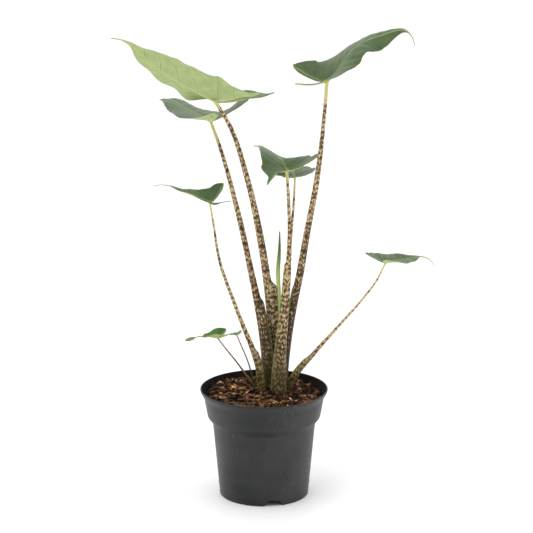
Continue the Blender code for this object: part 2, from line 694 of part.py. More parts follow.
def main():
    for piece in list(bpy.data.objects):
        bpy.data.objects.remove(piece, do_unlink=True)
    plant = collect("potted_siberian_tiger_alocasia")
    pot_cutters = collect("pot_cutters")
    soil_holes = collect("soil_holes")

    stalk_skin = make_material("striped_stalk", (0.36, 0.26, 0.15), 0.45)
    reddish_skin = make_material("reddish_stalk", (0.28, 0.13, 0.08), 0.45)
    leaf_green = make_material("leaf_green", (0.09, 0.16, 0.06), 0.38)

    make_pot(plant, pot_cutters)
    for name, stalk in STALKS.items():
        top_plane = make_blade(f"{name}_blade", BLADES[name], stalk.route[0][:3], plant, leaf_green)
        skin = reddish_skin if name.startswith("tiny") else stalk_skin
        make_stalk(f"{name}_stalk", stalk, plant, skin, top_plane)
    make_stalk("rolled_new_leaf", SPEAR, plant, leaf_green, None)
    for name, stalk in {**STALKS, "rolled_new_leaf": SPEAR}.items():
        rings = stalk_rings(stalk, extra=GAP)
        low = [[(p[0], p[1], p[2] - GAP) for p in rings[0]]]
        rings = low + [r for r in rings if min(p[2] for p in r) < SOIL_LEVEL + HOLE_TOP]
        points, faces = loft([np.array(ring) for ring in rings])
        as_cutter(add_mesh(f"{name}_hole", points, faces, soil_holes))
    make_soil(plant, soil_holes)
    centre_over_origin(plant.objects, bpy.data.objects)


main()
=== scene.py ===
"""Looks of a potted siberian tiger alocasia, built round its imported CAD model.

Metres, +Z up. Shapes are worked out round the pot's axis and moved to where the frame has the pot.
The finer pieces repeat the CAD's forms, and add veins, banding, bark, fibres and colour.
"""
from dataclasses import dataclass
from math import copysign, cos, exp, hypot, pi, radians, sin, tau

import bmesh
import bpy
import numpy as np
from mathutils import Euler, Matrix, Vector, noise


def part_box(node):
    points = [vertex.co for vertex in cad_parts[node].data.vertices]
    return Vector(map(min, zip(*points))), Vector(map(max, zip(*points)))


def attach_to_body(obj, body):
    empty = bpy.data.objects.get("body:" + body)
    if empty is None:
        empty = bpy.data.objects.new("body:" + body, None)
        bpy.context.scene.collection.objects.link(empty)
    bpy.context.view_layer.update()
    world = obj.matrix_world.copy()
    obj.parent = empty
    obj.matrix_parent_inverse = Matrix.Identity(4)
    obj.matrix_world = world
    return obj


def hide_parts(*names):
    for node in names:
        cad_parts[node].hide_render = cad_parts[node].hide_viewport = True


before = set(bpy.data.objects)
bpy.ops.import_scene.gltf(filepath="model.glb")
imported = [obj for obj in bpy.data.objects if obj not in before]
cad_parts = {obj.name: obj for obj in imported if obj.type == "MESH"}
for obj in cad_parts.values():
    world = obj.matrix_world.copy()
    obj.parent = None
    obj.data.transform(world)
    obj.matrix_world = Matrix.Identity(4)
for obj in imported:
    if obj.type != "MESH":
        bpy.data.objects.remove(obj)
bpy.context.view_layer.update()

BODY = "root"
pot_low, pot_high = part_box("pot")
POT_AXIS = np.array(((pot_low.x + pot_high.x) / 2, (pot_low.y + pot_high.y) / 2, 0.0))

# Pot
POT_HEIGHT = 0.146
POT_WALL = 0.0014
RIM_RADIUS = 0.085
COLLAR_TOP = (0.08, 0.1346)  # radius, height
COLLAR_FOOT = (0.0752, 0.1084)
BODY_TOP = (0.0685, 0.0996)
FOOT_RADIUS = 0.0592
FOOT_WIDTH = 0.0017
RIDGE_HEIGHT = 0.016
RIDGE_HALF_WIDTH = 0.0016
RIDGE_SIZE = 0.0005
FLOOR_HEIGHT = 0.009
FLOOR_THICKNESS = 0.0015
POT_SIDES = 192
DRAIN_RADIUS = 0.0045
DRAIN_CIRCLE = 0.036
DRAIN_COUNT = 6
NOTCH_COUNT = 3
NOTCH_TURN = radians(12.4)
NOTCH_WIDE, NOTCH_NARROW, NOTCH_HEIGHT = 0.027, 0.0126, 0.0078
NOTCH_DEPTH = 0.012
NOTCH_ROUNDING = 0.0025
CORNER = 0.0009  # reach of the rounding at the corners of the wall
RIM_TAPER = 0.0002
INNER_SKIN = 0.7  # share of the wall's thickness, from outside, where its inside begins
LEDGE_MARGIN = 0.0005
SHARP_ANGLE = radians(35)

# Soil
SOIL_LEVEL = 0.1345
HEAPS = (  # centre, radius, height
    ((0.013, 0.024), 0.03, 0.0055),
    ((-0.046, 0.038), 0.036, 0.005),
    ((0.024, 0.066), 0.034, 0.0035),
)
SOIL_LUMPS = 0.0028
LUMP_COARSE, LUMP_FINE = 95, 210  # lumps to the metre
BED_SIDES, BED_RINGS = 200, 64
BED_GAP = 0.0003  # to the pot
BED_SHOULDER = 0.004  # from the soil's level down to where its side ends
BIT_GAP = 0.0005  # from loose bits to the pot's wall
BED_DROP = 0.0012  # how far the packed soil lies below the loose bits
BED_CRUMBS, BED_CRUMB_PITCH = 0.0011, 480
CHIP_COUNT, FIBRE_COUNT, CRUMB_COUNT = 4000, 2300, 4600
CHIP_SINK = 0.0006
GRAIN_SHIFT = 7  # sets each bit's grain apart from its neighbours'

# Stalks
STALK_DEPTH = 0.022
FOOT_TAPER = 0.92
STALK_STEP = 0.0018
SLOPE_STEP = 0.002
SHOULDER_LENGTH = 0.009  # of a sheath
HEM_TURN, HEM_SPREAD, HEM_HEIGHT = 0.25, 0.16, 0.0005
FULL_SHEATH = 0.0015  # a sheath that stands out less has a lower hem
FLARE_LENGTH, FLARE = 0.006, 0.18  # where a stalk widens under its blade
LEAST_LEAN = 0.4  # bounds how slanting a stalk's end is cut
GREEN_FADE, COVER_FADE = 0.085, 0.26  # how far up the green tinge and the extra dark go
BLADE_SEAT = 0.0008  # from the blade's upper face down to the stalk's end
SPEAR_STEP = 0.0012
SPEAR_EDGE, SPEAR_TWIST = radians(-60), 2.2
SPEAR_PALE_SIDE = radians(-58)
SPEAR_PALE_TOP = 0.335

# Outline of one half of a leaf, along and across its midrib, for a leaf 1 long
LOBE_LENGTH, HALF_WIDTH = 0.42, 0.36
SINUS = -0.03
OUTER_BACK = ((-0.42, 0.26), (-0.37, 0.31), (-0.25, 0.345), (-0.12, 0.358), (SINUS, HALF_WIDTH))
OUTER_FRONT = (
    (SINUS, HALF_WIDTH), (0.15, 0.345), (0.35, 0.3), (0.58, 0.22),
    (0.78, 0.125), (0.93, 0.045), (1.0, 0.012),
)
INNER = ((-0.42, 0.26), (-0.36, 0.17), (-0.2, 0.085), (-0.07, 0.014), (SINUS, 0.0))
LOBE_MARGIN = 0.28  # share of the margin that belongs to the rear lobe
LOBE_ROUNDING = 0.16
CLIMB_PLACES = (-0.26, -0.04, 0.06, 0.3, 0.6, 0.9, 1.05, 1.25)
RISE_PLACES = (-0.42, -0.15, 0.0, 0.17, 0.35, 0.5, 0.68, 0.85)
FLAT_FROM = 0.88  # both halves lie flat from here to the tip
DRIP_BEND, DRIP_BEND_LENGTH = 0.92, 0.12
NECK_FROM, NECK_LENGTH = 0.9, 0.1
LEAFLET_FROM, LEAFLET_NECK = 0.36, 0.28  # share of the drip tip before the leaflet, and of its width
LEAST = 1e-6  # keeps a length from being nothing

# Faces of a leaf
LEAF_STEP = 0.0011
BIG_LEAF = 0.05  # half width of a leaf with full bulges between its veins
LEAF_THICKNESS = 0.0005
RIB_THICKNESS = 0.0021
RIB_HALF_WIDTH = 0.0017
FULL_RIB = 0.037  # half width of the smallest leaf whose midrib is as thick as that
QUILT = 0.0005
MIDRIB_FURROW = 0.0004
FURROW_WIDTH = 0.0012
QUILT_MARGIN, QUILT_RIB, QUILT_GAP = 0.006, 0.004, 0.008  # distances that the bulges need to be full
CAMBER = 0.03
SCALLOP = 0.03
BRIGHT_LOBE_FROM, BRIGHT_LOBE_LENGTH = -0.16, 0.14  # where a brighter rear lobe begins

# Lines on a leaf: how far from its middle a line has faded out, and where it is full
LATERAL_VEIN = (0.0009, 0.0002)
# a band along one side of each lateral vein: painted shade on the upper face, painted highlight on the
# underside
VEIN_SIDE_SHADING = (0.0021, 0.0008)
FINE_VEIN = (0.22, 0.0)
MIDRIB_BAND = (0.003, 0.0009)
HORNY_RIM = (0.0006, 0.0001)
HEART_SPOT = (0.0035, 0.001)
PLAIN_RIM = (0.0, 0.005)

WELD = 1e-6  # points closer than this are one

# Room
LIGHTS_AIM = (0, 0, 0.3)
FRONT_LIGHT, BACK_LIGHT = 0.42, 1.36  # strength of the surround
CAMERA_PLACE = (0.0033, -3.0, 1.09)  # from the foot of the pot's axis
CAMERA_DOWN = 14.52  # degrees below level
CAMERA_LENS = 159.2


@dataclass
class Stalk:
    """The route runs down from the blade, in tenths of a millimetre: x, y, z and the stalk's diameter."""

    route: tuple
    sheath: tuple = (0.0, 0.0, 0.0)  # how far its edge stands out, its top's height, degrees from +X
    cover: tuple = (0.5, 0.7)  # share of the skin that is dark, high up and at the foot
    plain: float = 0.02  # length of the plain green stretch under the blade
    sides: int = 48

    def __post_init__(self):
        self.route = np.array(self.route) / 10000


@dataclass
class Leaf:
    """Angles in degrees. Left is on the left hand of someone who looks along the midrib from above."""

    length: float
    half_width: float
    lobes: float
    heading: float
    climb: tuple
    left: tuple  # how far the left half is raised, from the lobe to the tip
    right: tuple
    drip: float
    wave: tuple = (0.0008, 3, 0.2, 0.5)  # of the margin: height, count, start on the left and right
    drip_width: float = 0.0011
    drip_turn: float = 0.0
    leaflet: bool = False  # the drip tip widens to a small leaf of its own
    spread: tuple = (0.0, 0.0)
    slim: tuple = (0.0, 0.0)
    right_wave: float = 1.0  # the right half's waves against the left half's
    youth: float = 0.0  # 1 is a young, fresh green leaf
    bright_lobe: float = 0.0  # how much brighter, in a young leaf's green, its left rear lobe is
    veins: int = 8  # lateral veins to a leaf's length


STALKS = {
    "upper_left": Stalk(
        ((-636, 150, 5320, 44), (-480, 166, 5050, 53), (-205, 223, 4205, 74), (-70, 270, 3573, 92),
         (28, 330, 2952, 106), (102, 402, 2300, 134), (105, 435, 1380, 154)),
        sheath=(0.0056, 0.285, -22), cover=(0.5, 0.57), plain=0.01),
    "rear_left": Stalk(
        ((-714, 800, 4932, 36), (-642, 770, 4739, 42), (-341, 600, 3692, 71), (-165, 420, 2915, 87),
         (-75, 330, 2500, 108), (4, 280, 2050, 130), (50, 270, 1380, 140)),
        sheath=(0.0032, 0.262, -34), cover=(0.48, 0.76), plain=0.026),
    "upper_right": Stalk(
        ((802, -350, 5669, 44), (787, -300, 5381, 45), (682, -100, 4281, 74), (565, 60, 3571, 86),
         (468, 190, 2940, 101), (402, 245, 2593, 104), (319, 285, 2050, 106), (262, 310, 1380, 106)),
        sheath=(0.0014, 0.283, 205), cover=(0.5, 0.94), plain=0.028),
    "middle": Stalk(
        ((298, 150, 4402, 39), (322, 141, 3995, 43), (336, 131, 3592, 50), (312, 116, 2936, 85),
         (272, 105, 2441, 108), (227, 93, 1941, 140), (205, 80, 1380, 195)),
        sheath=(0.0017, 0.318, 165), cover=(0.4, 0.64), plain=0.013),
    "lower_rear": Stalk(
        ((410, 600, 4215, 26), (398, 560, 3891, 31), (373, 500, 3592, 34), (305, 400, 2708, 42),
         (268, 405, 2000, 46), (245, 415, 1380, 46)),
        cover=(0.4, 0.54), plain=0.022, sides=28),
    "small_left": Stalk(
        ((-699, -250, 4058, 22), (-662, -214, 3799, 27), (-583, -134, 3253, 38), (-392, -46, 2649, 50),
         (-284, 0, 2338, 58), (-153, 51, 1987, 74), (-68, 90, 1700, 92), (-40, 120, 1380, 98)),
        sheath=(0.0018, 0.199, 10), cover=(0.36, 0.52), plain=0.022, sides=32),
    "small_right": Stalk(
        ((1573, -500, 3315, 20), (1467, -414, 3058, 24), (1249, -294, 2719, 31), (1000, -178, 2391, 38),
         (660, -19, 1942, 60), (418, 102, 1600, 78), (330, 175, 1380, 84)),
        sheath=(0.0016, 0.19, 170), cover=(0.22, 0.44), plain=0.012, sides=32),
    "tiny_front": Stalk(
        ((-598, -450, 2284, 20), (-538, -390, 2171, 20), (-361, -179, 1872, 23), (-234, -11, 1635, 28),
         (-130, 170, 1380, 32)),
        cover=(0.1, 0.3), plain=0.004, sides=16),
    "tiny_rear": Stalk(
        ((-359, -150, 2243, 16), (-188, 213, 1668, 20), (-140, 380, 1380, 24)),
        cover=(0.1, 0.3), plain=0.004, sides=16),
}

LEAVES = {
    "upper_left": Leaf(
        0.142, 0.05, 0.072, 167, climb=(-11, 11, 22, 26, 33, 40, 12, -24),
        left=(22, 46, 52, 48, 54, 57, 64, 50), right=(2, 6, -9, -25, -35, -33, -43, -48),
        wave=(0.001, 5, 0.1, 0.4), right_wave=2.6, drip=0.02, youth=0.25, veins=5),
    "rear_left": Leaf(
        0.145, 0.047, 0.058, 120, climb=(-20, -6, 2, 5, 7, -10, -14, -15),
        left=(16, 12, 9, 10, 12, 12, 11, 10), right=(33, 33, 23, 6, -8, -13, -11, 0),
        wave=(0.0015, 3, 0.2, 0.6), drip=0.018, drip_turn=-29, slim=(0.35, 0.0)),
    "upper_right": Leaf(
        0.129, 0.047, 0.043, 3, climb=(-7, 18, 46, 53, 19, 4, -58, -105),
        left=(27, 31, 25, 11, 2, -5, 3, 4), right=(9, 9, 13, -2, -17, -13, -42, -32),
        wave=(0.001, 3, 0.3, 0.0), drip=0.02),
    "middle": Leaf(
        0.105, 0.037, 0.04, 108, climb=(-6, 10, 24, 6, 0, 1, -2, -2),
        left=(-15, 9, 19, 24, 29, 26, 24, 20), right=(38, 34, 26, 14, -20, -32, -35, -35),
        wave=(0.001, 3, 0.2, 0.5), drip=0.011, drip_width=0.0024, drip_turn=55, spread=(0.76, 0.36),
        slim=(0.62, 0.0), bright_lobe=0.8, veins=7),
    "lower_rear": Leaf(
        0.07, 0.029, 0.028, 99, climb=(-4, 4, 8, 4, -4, -10, -30, -50),
        left=(16, 12, 10, 6, 6, 6, 4, 4), right=(30, 26, 22, 14, 8, 6, 4, 4), drip=0.008, veins=6),
    "small_left": Leaf(
        0.06, 0.024, 0.024, 193, climb=(-10, 12, 24, 25, 23, 24, 12, -10),
        left=(12, 13, 4, 3, 6, 6, 4, 0), right=(64, 55, 42, 28, 13, 8, 6, 4), drip=0.02,
        spread=(0.2, 0.2), veins=6),
    "small_right": Leaf(
        0.069, 0.024, 0.026, 45, climb=(-15, -8, -4, -5, -3, -3, -14, -55),
        left=(34, 28, 20, 17, 17, 17, 20, 18), right=(17, 14, 10, 6, 1, 0, 0, 0), drip=0.023,
        drip_turn=-45, spread=(0.15, 0.15), slim=(0.3, 0.0), veins=6),
    "tiny_front": Leaf(
        0.022, 0.0143, 0.013, 190, climb=(-6, 6, 12, 12, 8, 0, 6, -14),
        left=(34, 34, 34, 34, 34, 30, 18, -6), right=(58, 57, 54, 46, 35, 24, 20, 36),
        wave=(0.0003, 2, 0.2, 0.5), drip=0.023, drip_width=0.0027, leaflet=True, youth=1.0, veins=4),
    "tiny_rear": Leaf(
        0.012, 0.0064, 0.008, 180, climb=(-25, -3, 8, 5, 0, -5, -20, -30),
        left=(28, 14, 10, 8, 8, 6, 4, 4), right=(28, 14, 10, 8, 8, 6, 4, 4),
        wave=(0.0003, 2, 0.2, 0.5), drip=0.003, youth=0.6, veins=3),
}

SPEAR = Stalk(
    ((207, 220, 3550, 16), (204, 222, 3300, 44), (188, 228, 3000, 60), (203, 238, 2620, 47),
     (210, 240, 2000, 46), (205, 236, 1380, 46)),
    sides=40,
)


# Curves and meshes


def through(places, values, at):
    """Values of the smooth curve through values that are given at rising places."""
    places, values = np.asarray(places, float), np.asarray(values, float)
    slopes = np.gradient(values, places, axis=0)
    at = np.clip(np.asarray(at, float), places[0], places[-1])
    k = np.clip(np.searchsorted(places, at, side="right") - 1, 0, len(places) - 2)
    span = places[k + 1] - places[k]
    t = (at - places[k]) / span
    if values.ndim > 1:
        t, span = t[..., None], span[..., None]
    start = (2 * t**3 - 3 * t**2 + 1) * values[k] + (t**3 - 2 * t**2 + t) * span * slopes[k]
    end = (3 * t**2 - 2 * t**3) * values[k + 1] + (t**3 - t**2) * span * slopes[k + 1]
    return start + end


def smoothstep(t):
    t = np.clip(t, 0.0, 1.0)
    return t * t * (3 - 2 * t)


def ring_turns(count):
    """Angles of the points of a ring."""
    return np.arange(count) * tau / count


def welded(points, faces, attributes):
    """Joins points that coincide and drops what collapses."""
    cells = np.round(points / WELD).astype(np.int64)
    _, first, index = np.unique(cells, axis=0, return_index=True, return_inverse=True)
    index = index.reshape(-1)
    faces = [list(dict.fromkeys(index[list(face)].tolist())) for face in faces]
    faces = [face for face in faces if len(face) > 2]
    return points[first], faces, {name: values[first] for name, values in attributes.items()}


def placed(name, data):
    """A new object in the scene."""
    thing = bpy.data.objects.new(name, data)
    bpy.context.scene.collection.objects.link(thing)
    return thing


def add_piece(name, points, faces, materials, attributes=None, smooth=True):
    """A mesh object; points are round the pot's axis, an attribute is a number or vector to each."""
    mesh = bpy.data.meshes.new(name)
    mesh.from_pydata((np.asarray(points) + POT_AXIS).tolist(), [], faces)
    for material in materials:
        mesh.materials.append(material)
    for key, values in (attributes or {}).items():
        kind, field = ("FLOAT_VECTOR", "vector") if values.ndim > 1 else ("FLOAT", "value")
        layer = mesh.attributes.new(key, kind, "POINT")
        layer.data.foreach_set(field, values.astype(np.float32).ravel())
    if smooth:
        mesh.shade_smooth()
    return placed(name, mesh)


def hand_over(piece, slot, *nodes):
    """Puts a finished piece on its body, in place of CAD nodes."""
    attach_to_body(piece, BODY)
    if nodes:
        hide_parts(*nodes)


def grid_faces(rows, columns, start=0, closed=False, flip=False):
    """Quads between successive rows of points; closed joins each row's ends."""
    faces = []
    for k in range(rows - 1):
        for i in range(columns if closed else columns - 1):
            a, b = start + k * columns + i, start + k * columns + (i + 1) % columns
            quad = (a, b, b + columns, a + columns)
            faces.append(quad[::-1] if flip else quad)
    return faces


def add_tube(name, rings, foot, top, material, attributes=None):
    """A tube of rings of points, closed by a point in the middle of each end."""
    rows, columns = rings.shape[:2]
    last = (rows - 1) * columns
    faces = grid_faces(rows, columns, closed=True)
    faces += [((i + 1) % columns, i, rows * columns) for i in range(columns)]
    faces += [(last + i, last + (i + 1) % columns, rows * columns + 1) for i in range(columns)]
    return add_piece(name, np.vstack([rings.reshape(-1, 3), foot, top]), faces, [material], attributes)


# Materials


class Nodes:
    """Short calls for the nodes of one material, or of the world."""

    def __init__(self, name, kind="materials", shader="Principled BSDF"):
        self.owner = getattr(bpy.data, kind).new(name)
        self.owner.use_nodes = True
        self.tree = self.owner.node_tree
        self.shader = self.tree.nodes[shader]

    def feed(self, sockets, inputs):
        """Sets or links inputs; None leaves one as it is."""
        for key, value in inputs.items():
            socket = sockets[key]
            if isinstance(value, bpy.types.NodeSocket):
                self.tree.links.new(value, socket)
            elif value is not None:
                socket.default_value = (*value, 1) if socket.type == "RGBA" else value

    def new(self, kind, inputs=None, output=0, **settings):
        """Adds a node and returns one of its outputs."""
        node = self.tree.nodes.new("ShaderNode" + kind)
        for key, value in settings.items():
            setattr(node, key, value)
        self.feed(node.inputs, inputs or {})
        return node.outputs[output]

    def number(self, name):
        return self.new("Attribute", output="Fac", attribute_name=name)

    def vector(self, name):
        return self.new("Attribute", output="Vector", attribute_name=name)

    def place(self, kind="Object"):
        return self.new("TexCoord", output=kind)

    def math(self, operation, a, b=0.0, c=0.0):
        return self.new("Math", {0: a, 1: b, 2: c}, operation=operation)

    def times(self, a, b):
        return self.math("MULTIPLY", a, b)

    def sum(self, base, *terms):
        """The base plus each value times its weight."""
        for value, weight in terms:
            base = self.math("MULTIPLY_ADD", value, weight, base)
        return base

    def noise(self, vector, scale, detail=3.0, roughness=0.55):
        """Clouds; a scale for each axis stretches them."""
        if isinstance(scale, tuple):
            vector, scale = self.new("VectorMath", {0: vector, 1: scale}, operation="MULTIPLY"), 1
        inputs = {"Vector": vector, "Scale": scale, "Detail": detail, "Roughness": roughness}
        return self.new("TexNoise", inputs, "Fac")

    def cells(self, vector, scale):
        return self.new("TexVoronoi", {"Vector": vector, "Scale": scale}, "Distance")

    def between(self, value, low, high, start=0.0, end=1.0):
        """Start at low and below, end at high and above, smooth between; low may be the greater."""
        inputs = {"Value": value, "From Min": low, "From Max": high, "To Min": start, "To Max": end}
        return self.new("MapRange", inputs, interpolation_type="SMOOTHSTEP")

    def ramp(self, value, *stops):
        """Colour at each place."""
        made = self.new("ValToRGB", {"Fac": value}, "Color")
        elements = made.node.color_ramp.elements
        while len(elements) < len(stops):
            elements.new(1.0)
        for element, (place, colour) in zip(elements, stops):
            element.position = place
            element.color = (*colour, 1)
        return made

    def mix(self, share, a, b):
        return self.new("Mix", {0: share, 6: a, 7: b}, 2, data_type="RGBA")

    def tinted(self, colour, *tints):
        """The colour under other ones; each tint is where it lies, its strength and its colour."""
        for share, strength, tint in tints:
            colour = self.mix(self.times(share, strength), colour, tint)
        return colour

    def bump(self, height, distance, strength=1.0, below=None):
        inputs = {"Height": height, "Distance": distance, "Strength": strength}
        return self.new("Bump", {**inputs, "Normal": below})

    def finish(self, colour, roughness, normal=None, gloss=0.5):
        inputs = {"Base Color": colour, "Roughness": roughness, "Normal": normal}
        self.feed(self.shader.inputs, {**inputs, "Specular IOR Level": gloss})
        return self.owner


def plastic_material(name, gloss):
    """Moulded dark plastic: faint flow marks, scuffs and dust."""
    m = Nodes(name)
    place = m.place()
    clouds = m.noise(place, 17, 4)
    streaks = m.noise(place, (9, 9, 60), 4, 0.6)
    scuffs = m.between(m.noise(place, (260, 260, 90), 6, 0.75), 0.56, 0.7)
    worn = m.times(scuffs, m.between(m.noise(place, 22, 2), 0.5, 0.62))
    colour = m.tinted(
        m.ramp(clouds, (0.35, (0.003, 0.004, 0.005)), (0.65, (0.024, 0.025, 0.023))),
        (m.between(streaks, 0.4, 0.8), 0.5, (0.026, 0.028, 0.028)), (worn, 0.55, (0.13, 0.14, 0.135)),
    )
    rough = m.sum(0.36, (streaks, 0.18), (scuffs, 0.14))
    grain = m.noise(place, 2600, 2)
    normal = m.bump(grain, 0.00005, 0.5, m.bump(streaks, 0.0006, 0.1, m.bump(clouds, 0.0012, 0.5)))
    return m.finish(colour, rough, normal, gloss)


def shaded_dusty_plastic_material():
    """The pot's inside: matt and dusted with soil, duller and darker than the outside as painted shade."""
    m = Nodes("damp_plastic")
    dust = m.noise(m.place(), 130, 6, 0.7)
    colour = m.ramp(dust, (0.4, (0.004, 0.004, 0.004)), (0.75, (0.02, 0.013, 0.009)))
    return m.finish(colour, 0.75, m.bump(dust, 0.0004, 0.6), gloss=0.12)


def leaf_veins(m):
    """Lines of the lateral veins, a band along one side of each for painted shade and highlight, finer
    veins between them and the midrib.
    """
    phase, gap = m.number("vein"), m.number("vein_gap")
    fade = m.between(m.number("margin"), *PLAIN_RIM)
    to_vein = m.times(m.math("PINGPONG", phase, 0.5), gap)
    past_vein = m.times(m.math("FRACT", phase), gap)
    to_fine = m.math("PINGPONG", m.times(phase, 5), 0.5)
    lateral = m.times(m.between(to_vein, *LATERAL_VEIN), fade)
    vein_side_shading = m.times(m.between(past_vein, *VEIN_SIDE_SHADING), fade)
    fine = m.times(m.between(to_fine, *FINE_VEIN), fade)
    return lateral, vein_side_shading, fine, m.between(m.number("rib"), *MIDRIB_BAND)


def leaf_top_material():
    """Waxy upper face: deep green with paler veins, painted shade along one side of each lateral vein, and
    a thin pale edge.
    """
    m = Nodes("leaf_top")
    flat = m.vector("flat")
    lateral, vein_side_shading, fine, rib = leaf_veins(m)
    blotches = m.noise(flat, 70, 4)
    old = m.ramp(blotches, (0.3, (0.028, 0.066, 0.012)), (0.7, (0.068, 0.112, 0.03)))
    young = m.ramp(blotches, (0.3, (0.022, 0.095, 0.005)), (0.7, (0.065, 0.17, 0.014)))
    colour = m.tinted(
        m.mix(m.number("youth"), old, young),
        # painted shade along one side of each lateral vein
        (fine, 0.06, (0.16, 0.22, 0.09)), (vein_side_shading, 0.22, (0.03, 0.065, 0.016)),
        (lateral, 0.22, (0.2, 0.28, 0.11)), (rib, 0.5, (0.24, 0.33, 0.13)),
        (m.between(m.number("margin"), *HORNY_RIM), 0.3, (0.36, 0.42, 0.2)),
        (m.between(m.number("heart"), *HEART_SPOT), 0.45, (0.34, 0.4, 0.18)),
    )
    height = m.sum(m.times(lateral, -0.6), (m.cells(flat, 900), 0.25), (fine, -0.15))
    return m.finish(colour, m.sum(0.38, (blotches, 0.14)), m.bump(height, 0.00035, 0.6), gloss=0.3)


def leaf_under_material():
    """Matt, pale underside with raised veins; each lateral vein is drawn as a line of painted shade with a
    painted highlight along one side.
    """
    m = Nodes("leaf_underside")
    flat = m.vector("flat")
    lateral, vein_side_shading, fine, rib = leaf_veins(m)
    colour = m.tinted(
        m.ramp(m.noise(flat, 60, 4), (0.3, (0.325, 0.415, 0.155)), (0.7, (0.455, 0.545, 0.245))),
        # painted highlight along one side of each lateral vein; the darker vein line is painted shade
        (fine, 0.14, (0.22, 0.34, 0.09)), (vein_side_shading, 0.5, (0.54, 0.63, 0.32)),
        (lateral, 0.75, (0.14, 0.23, 0.06)), (rib, 0.45, (0.55, 0.62, 0.27)),
    )
    height = m.sum(m.times(lateral, 0.7), (fine, 0.25), (m.cells(flat, 800), -0.3))
    return m.finish(colour, 0.6, m.bump(height, 0.0004, 0.5), gloss=0.3)


def leaf_edge_material():
    """The thin, horny margin."""
    m = Nodes("leaf_margin")
    tint = m.noise(m.vector("flat"), 120, 2)
    colour = m.ramp(tint, (0.3, (0.17, 0.24, 0.08)), (0.7, (0.3, 0.36, 0.15)))
    return m.finish(colour, 0.55)


def stalk_material(name, light, middle, dark, plain_colour):
    """Jagged bands of dark blotches on a pale skin; the share of dark is the mesh's own "cover"."""
    m = Nodes(name)
    skin = m.vector("skin")
    low, plain = m.number("low"), m.number("plain")
    zigzag = m.noise(skin, (230, 230, 60), 2)
    along = m.new("SeparateXYZ", {0: skin}, "Z")
    bands = m.math("PINGPONG", m.sum(m.times(zigzag, 2.6), (along, 140)), 0.5)
    clouds = m.noise(skin, (70, 70, 30), 2)
    patches = m.noise(skin, (420, 420, 120), 3, 0.7)
    field = m.sum(m.times(bands, 0.9), (patches, 1.8), (clouds, 0.7))
    over = m.math("SUBTRACT", m.sum(0.975, (m.number("cover"), 0.95)), field)
    over = m.math("SUBTRACT", over, m.times(plain, 1.2))
    fleck = m.noise(skin, (1100, 1100, 500), 3)
    ground = m.mix(m.between(fleck, 0.38, 0.66), light, tuple(0.52 * c for c in light))
    ground = m.tinted(ground, (low, 0.75, (0.19, 0.2, 0.05)))
    moss = m.times(m.between(clouds, 0.45, 0.62), m.times(low, 0.75))
    ground = m.mix(moss, ground, (0.13, 0.19, 0.05))
    colour = m.mix(m.between(over, -0.26, -0.02), ground, middle)
    colour = m.tinted(
        m.mix(m.between(over, -0.02, 0.2), colour, dark),
        (low, 0.28, (0.085, 0.105, 0.022)), (plain, 0.8, plain_colour),
        (m.number("hem"), 0.9, (0.19, 0.29, 0.05)),
    )
    height = m.sum(m.noise(skin, (1500, 1500, 25), 2), (patches, 0.5))
    return m.finish(colour, 0.48, m.bump(height, 0.00025, 0.5), gloss=0.3)


def spear_material():
    """Rolled young leaf: fresh green with a paler rolled edge."""
    m = Nodes("rolled_leaf")
    lines = m.noise(m.vector("skin"), (1600, 1600, 30), 2)
    colour = m.ramp(lines, (0.3, (0.06, 0.125, 0.018)), (0.7, (0.11, 0.2, 0.035)))
    colour = m.mix(m.number("hem"), colour, (0.5, 0.64, 0.2))
    return m.finish(colour, 0.45, m.bump(lines, 0.0002, 0.5), gloss=0.3)


def bark_material(name, *stops):
    """Bark and coir: each bit has its own tone, and grain along it."""
    m = Nodes(name)
    grain = m.noise(m.vector("grain"), (220, 1400, 1400), 4, 0.65)
    drift = m.math("SUBTRACT", m.noise(m.place(), 75, 3, 0.6), 0.52)
    tone = m.sum(m.number("tone"), (m.math("SUBTRACT", grain, 0.5), 0.5), (drift, 2.1))
    rough = m.sum(0.62, (grain, 0.25))
    return m.finish(m.ramp(tone, *stops), rough, m.bump(grain, 0.0006, 0.8), gloss=0.12)


def bed_material():
    """Dark crumbs under the loose bark; their darkness is partly the soil's own colour and partly painted
    shade for the gaps between the bits.
    """
    m = Nodes("soil_bed")
    place = m.place()
    dust = m.noise(place, 900, 5, 0.7)
    stops = (0.3, (0.01, 0.006, 0.004)), (0.6, (0.04, 0.02, 0.011)), (0.8, (0.1, 0.05, 0.025))
    height = m.sum(m.cells(place, 420), (dust, 0.6))
    return m.finish(m.ramp(dust, *stops), 0.9, m.bump(height, 0.0012))


# Pot


def wall_radius(height):
    """Outer radius of the pot's wall, below its rim."""
    places = (0.0, BODY_TOP[1], COLLAR_FOOT[1], COLLAR_TOP[1], POT_HEIGHT)
    radii = (FOOT_RADIUS, BODY_TOP[0], COLLAR_FOOT[0], COLLAR_TOP[0], RIM_RADIUS)
    return np.interp(height, places, radii)


def rounded(outline, radius, steps=4):
    """The outline with each corner replaced by a short curve; points are radius and height."""
    outline = [np.array(p, float) for p in outline]
    made = [outline[0]]
    for before, corner, after in zip(outline, outline[1:], outline[2:]):
        near, far = before - corner, after - corner
        reach = min(radius, 0.45 * np.linalg.norm(near), 0.45 * np.linalg.norm(far))
        start = corner + near / np.linalg.norm(near) * reach
        end = corner + far / np.linalg.norm(far) * reach
        for t in np.linspace(0, 1, steps):
            made.append((1 - t) ** 2 * start + 2 * t * (1 - t) * corner + t**2 * end)
    return made + [outline[-1]]


